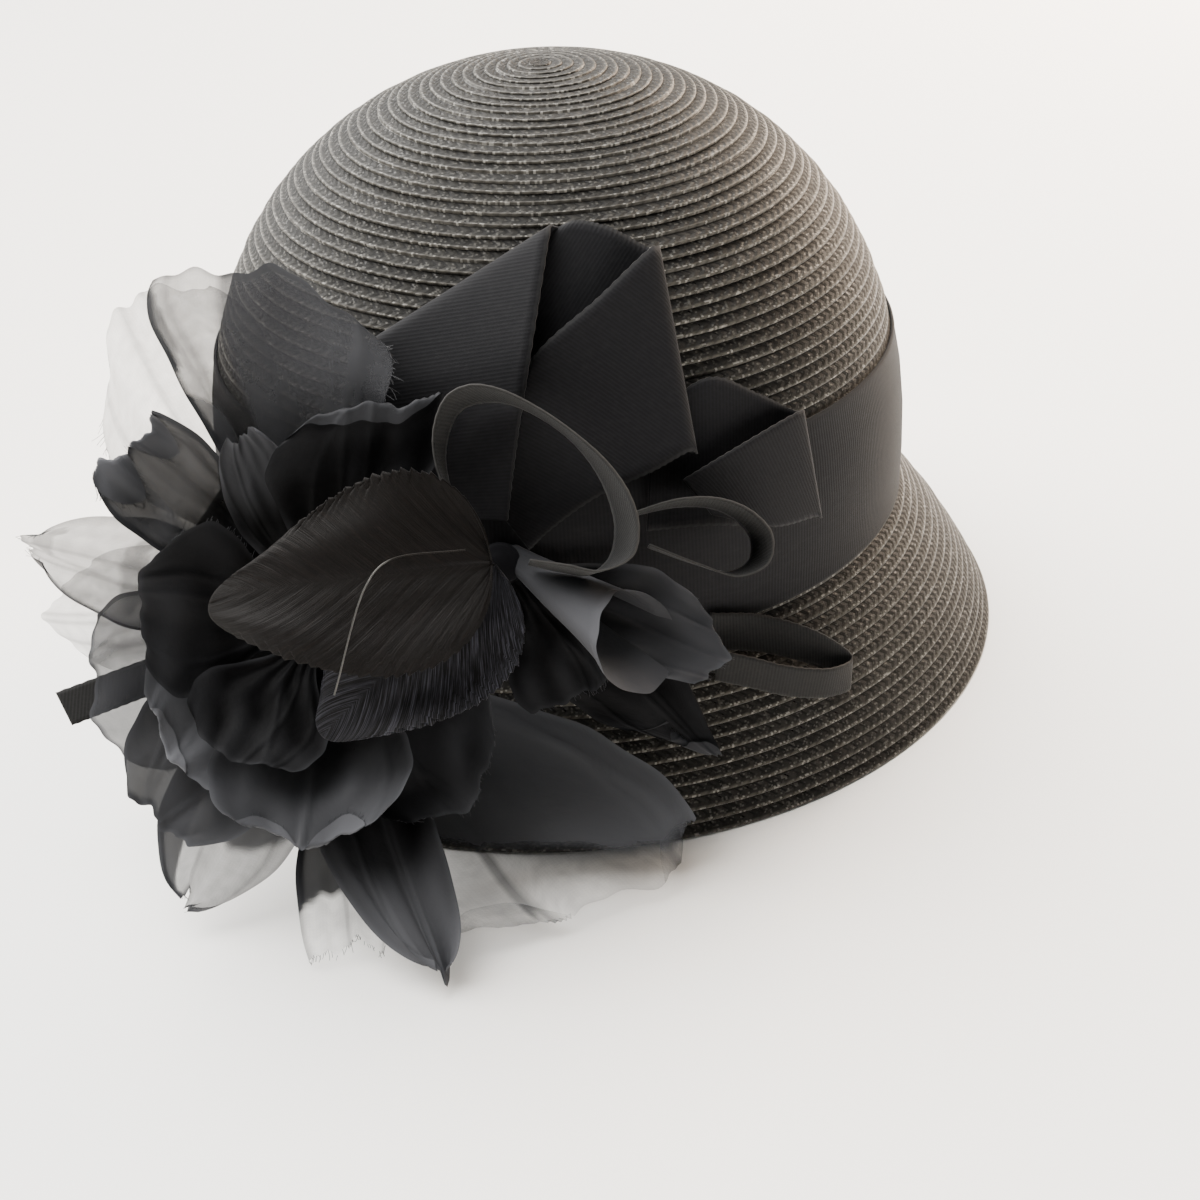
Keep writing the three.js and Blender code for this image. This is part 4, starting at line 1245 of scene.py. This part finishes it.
def leaf_finish(name, dark, light):
    """Pressed satin leaf cloth: dark, with a painted streaked sheen along the side veins."""
    finish, add, shader = new_finish(name, {
        "Sheen Weight": 0.01, "Sheen Roughness": 0.5, "Specular IOR Level": 0.11})
    uv = add("UVMap", uv_map="leaf")
    drawn_out = add("Mapping", {"Vector": uv, "Scale": STREAK_SCALE})
    streak = add("TexNoise", {"Vector": drawn_out, "Scale": 1.0, "Detail": 5.0, "Roughness": 0.6})
    lit = add("MapRange", {"Value": streak, 1: 0.42, 2: 0.78}, **SMOOTH_STEP)
    # Lighter colour along the streaks is painted sheen.
    colour = add("Mix", {"Factor": lit, "A": linear(dark), "B": linear(light)}, data_type="RGBA")
    dull = add("MapRange", {"Value": streak, 1: 0.3, 2: 0.8, 3: 0.65, 4: 0.36}, **SMOOTH_STEP)
    bump = add("Bump", {"Height": streak, "Strength": 0.6, "Distance": STREAK_RELIEF_MM * MM})
    fill_sockets(shader.inputs, {"Base Color": colour, "Roughness": dull, "Normal": bump})
    return finish


# The light colours of both leaves are painted sheen; the lower leaf's is much lighter.
LEAF_CLOTH = {"leaf_upper": leaf_finish("pressed_satin_leaf", "050302", "130d0a"),
              "leaf_lower": leaf_finish("satin_leaf_painted_shine", "050506", "46464e")}
print("finishes:", [finish.name for finish in LEAF_CLOTH.values()])

# %% [markdown]
# Each leaf is a petal shape with an egg outline, a midrib, slanting side veins and small uneven teeth.
# A bump map would lose the veins at a low angle, so they are moved into the grid itself. The leaves
# use the petals' table columns, and every tooth has its own seeded bite.

# %% Leaves
LEAVES = {
    "leaf_upper": ("knot", 185, 66, 46, 40.5, 41, 35, 0, 0, 0, 0.1, 0.12, 0.1, 0.4),
    "leaf_lower": ("knot", 223, 58, 42, 34, 33, 30, 0, 0, 0, 0.1, 0.12, 0, 0.45),
}
LEAF_SEEDS = {"leaf_upper": 51, "leaf_lower": 52}
LEAF_CELLS, LEAF_WALL_MM = (130, 72), 0.4
LEAF_START, LEAF_FOLD, LEAF_LEAST_HALF = 0.5, 2.5, 0.6
EGG_END, EGG_SKEW, EGG_FULLNESS = 0.88, 0.62, 0.75
LEAF_TEETH, TOOTH_SHARE, TOOTH_SHIFT, LEAST_BITE = 23, 0.075, 0.3, 0.2
LEAF_VEINS, VEIN_SLANT, VEIN_HALF, MIDRIB_HALF = 9, 0.42, 0.13, 0.035
VEIN_MM, PUFF_MM, MIDRIB_MM = 0.22, 0.1, 0.45


def leaf_half(row, s):
    """Half width along a leaf: round at its base, widest a third of the way, blunt at its tip."""
    egg = np.sin(math.pi * (EGG_END * np.clip(s, 0, 1)) ** EGG_SKEW) ** EGG_FULLNESS
    return np.maximum(row["width"] / 2 * egg, LEAF_LEAST_HALF)


def pressed_leaf(name):
    """One toothed, veined leaf."""
    row = dict(zip(PETAL_COLUMNS, LEAVES[name]))
    rng = np.random.default_rng(LEAF_SEEDS[name])
    bites = rng.uniform(LEAST_BITE, 1.0, (2, LEAF_TEETH + 2))

    def place(s, t):
        off = np.abs(t)
        tooth = s * LEAF_TEETH + TOOTH_SHIFT * (t > 0)
        bite = bites[(t > 0).astype(int), tooth.astype(int)] * (tooth % 1.0 - 0.5)
        spread = 1 + TOOTH_SHARE * bite * smooth(off, 0.6, 1.0) * smooth(s, 0.02, 0.1)
        spread = spread * leaf_half(row, s) / petal_half(row, s)
        x, y, lift = petal_flat(row, s, t, 1.0, spread, LEAF_START)
        vein = ((s - VEIN_SLANT * off + 0.5) * LEAF_VEINS) % 1.0
        groove = np.exp(-((vein - 0.5) / VEIN_HALF) ** 2) * smooth(off, 0.03, 0.12)
        groove = groove * smooth(1 - off, 0, 0.12)
        puff = np.abs(np.sin(math.pi * vein)) * smooth(off, 0.05, 0.3)
        rib = np.exp(-(t / MIDRIB_HALF) ** 2)
        lift = lift + LEAF_FOLD * off * np.sin(math.pi * s)
        lift = lift - VEIN_MM * groove + PUFF_MM * puff + MIDRIB_MM * rib * (1 - s)
        lift = lift + crumple(rng, s, t, *SLOW_CRUMPLE) * smooth(off, 0.1, 0.6)
        return from_trim(x, y, lift)

    piece, s, t = cloth_grid(name.replace("leaf", "satin_leaf"), *LEAF_CELLS, place)
    uv = np.stack([(s - VEIN_SLANT * np.abs(t)) * row["reach"], t * leaf_half(row, s)], 1)
    give_uv(piece, "leaf", uv[face_corners(piece)])
    thicken(piece, LEAF_WALL_MM)
    settle(piece, LEAF_CLOTH[name], "leaf_cloth", name)
    length = row["reach"] - LEAF_START
    area = 2 * leaf_half(row, np.linspace(0, 1, AREA_STEPS)).mean() * length
    print(name, "cut in mm:", row["width"], "by", round(length))


for leaf_name in LEAVES:
    pressed_leaf(leaf_name)

# %% [markdown]
# A thin wire stiffens the upper leaf. It lies along the midrib, then bends away and ends in the air.
# It is dark along the midrib and turns to grey metal with a dull gleam where it stands free. A bevelled
# curve is the usual way to a wire; Object coordinates tell the finish where the grey part starts.

# %% Leaf wire
LEAF_WIRE = [(9, 6, 45.3), (-8, 4, 46.3), (-13, -1, 46.3), (-21.5, -26, 44.3)]
WIRE_RADIUS_MM, WIRE_STEPS, WIRE_CORNERS = 0.2, 48, 3
GREY_FROM_X, GREY_TO_X = -39.0, -44.0
SCUFFS_PER_METRE = 600.0


def wire_finish():
    """Thin drawn wire: dark along the midrib, grey metal with a dull gleam towards its free end."""
    finish, add, shader = new_finish("drawn_wire", {"Metallic": 0.9})
    scuff = add("TexNoise", {"Scale": SCUFFS_PER_METRE, "Detail": 2.0})
    spot = add("TexCoord").node.outputs["Object"]
    at_x = add("SeparateXYZ", {"Vector": spot})
    lighter_share = add("MapRange", {"Value": at_x, 1: GREY_FROM_X * MM, 2: GREY_TO_X * MM})
    grey_metal = add("Mix", {"Factor": scuff, "A": linear("3a3938"), "B": linear("777673")}, data_type="RGBA")
    colour = add("Mix", {"Factor": lighter_share, "A": linear("1b1917"), "B": grey_metal}, data_type="RGBA")
    dull = add("MapRange", {"Value": scuff, 1: 0.3, 2: 0.7, 3: 0.5, 4: 0.28})
    fill_sockets(shader.inputs, {"Base Color": colour, "Roughness": dull})
    return finish


path = curve_points(LEAF_WIRE, np.linspace(0, len(LEAF_WIRE) - 1, WIRE_STEPS))
wire = round_strands("leaf_wire", [from_trim(*path.T)], WIRE_RADIUS_MM, WIRE_CORNERS)
settle(wire, wire_finish(), "wire", "leaf_stem")
print("wire faces:", len(wire.data.polygons))

# %% [markdown]
# Petals and ribbon ends are bound to two short posts with black thread. They hardly show, so a wound
# spiral of real thread isn't worth its faces. A cylinder is cut into rings with bisect, and every ring
# is moved in or out by the thread's winding.

# %% Bound posts
BINDING = {"flower_stem": ("flower_binding", "flower", -11.5, 15.0),
           "bow_knot": ("knot_binding", "knot", 8.5, 26.0)}
THREAD_MM, WINDING_MM, POST_INSET_MM = 0.9, 0.22, 0.25
POST_SIDES, RINGS_PER_THREAD = 28, 4
DOME_FROM, DOME_DROP = 0.9, 0.8
LINT_PER_METRE = 500.0


def binding_finish():
    """Wound cotton thread: matte black."""
    finish, add, shader = new_finish("wound_cotton_thread", {
        "Roughness": 0.85, "Specular IOR Level": 0.06})
    lint = add("TexNoise", {"Scale": LINT_PER_METRE, "Detail": 3.0})
    colour = add("Mix", {"Factor": lint, "A": linear("0a0a0b"), "B": linear("17171a")}, data_type="RGBA")
    fill_sockets(shader.inputs, {"Base Color": colour})
    return finish


def bound_post(node, name, post, foot, top, finish):
    """Post wound with thread, with a rounded top."""
    x, y, radius = POSTS[post]
    bpy.ops.object.select_all(action="DESELECT")
    bpy.ops.mesh.primitive_cylinder_add(vertices=POST_SIDES, radius=1, depth=2, end_fill_type="TRIFAN")
    piece = bpy.context.active_object
    piece.name = name
    bpy.ops.object.mode_set(mode="EDIT")
    rings = int((top - foot) / THREAD_MM * RINGS_PER_THREAD)
    for step in range(1, rings):
        bpy.ops.mesh.select_all(action="SELECT")
        bpy.ops.mesh.bisect(plane_co=(0, 0, -1 + 2 * step / rings), plane_no=(0, 0, 1))
    bpy.ops.object.mode_set(mode="OBJECT")
    points = read_points(piece)
    share = (points[:, 2] + 1) / 2
    height = foot + share * (top - foot)
    angle = np.arctan2(points[:, 1], points[:, 0])
    wound = WINDING_MM * np.sin(FULL_TURN * height / THREAD_MM + angle)
    dome = np.sqrt(np.clip(1 - smooth(share, DOME_FROM, 1.0) ** 2 * DOME_DROP, 0, 1))
    reach = np.hypot(points[:, 0], points[:, 1]) * (radius - POST_INSET_MM + wound) * dome
    write_points(piece, from_trim(x + reach * np.cos(angle), y + reach * np.sin(angle), height))
    settle(piece, finish, "binding", node)
    print(name, "faces:", len(piece.data.polygons))


thread = binding_finish()
for node, (name, post, foot, top) in BINDING.items():
    bound_post(node, name, post, foot, top, thread)
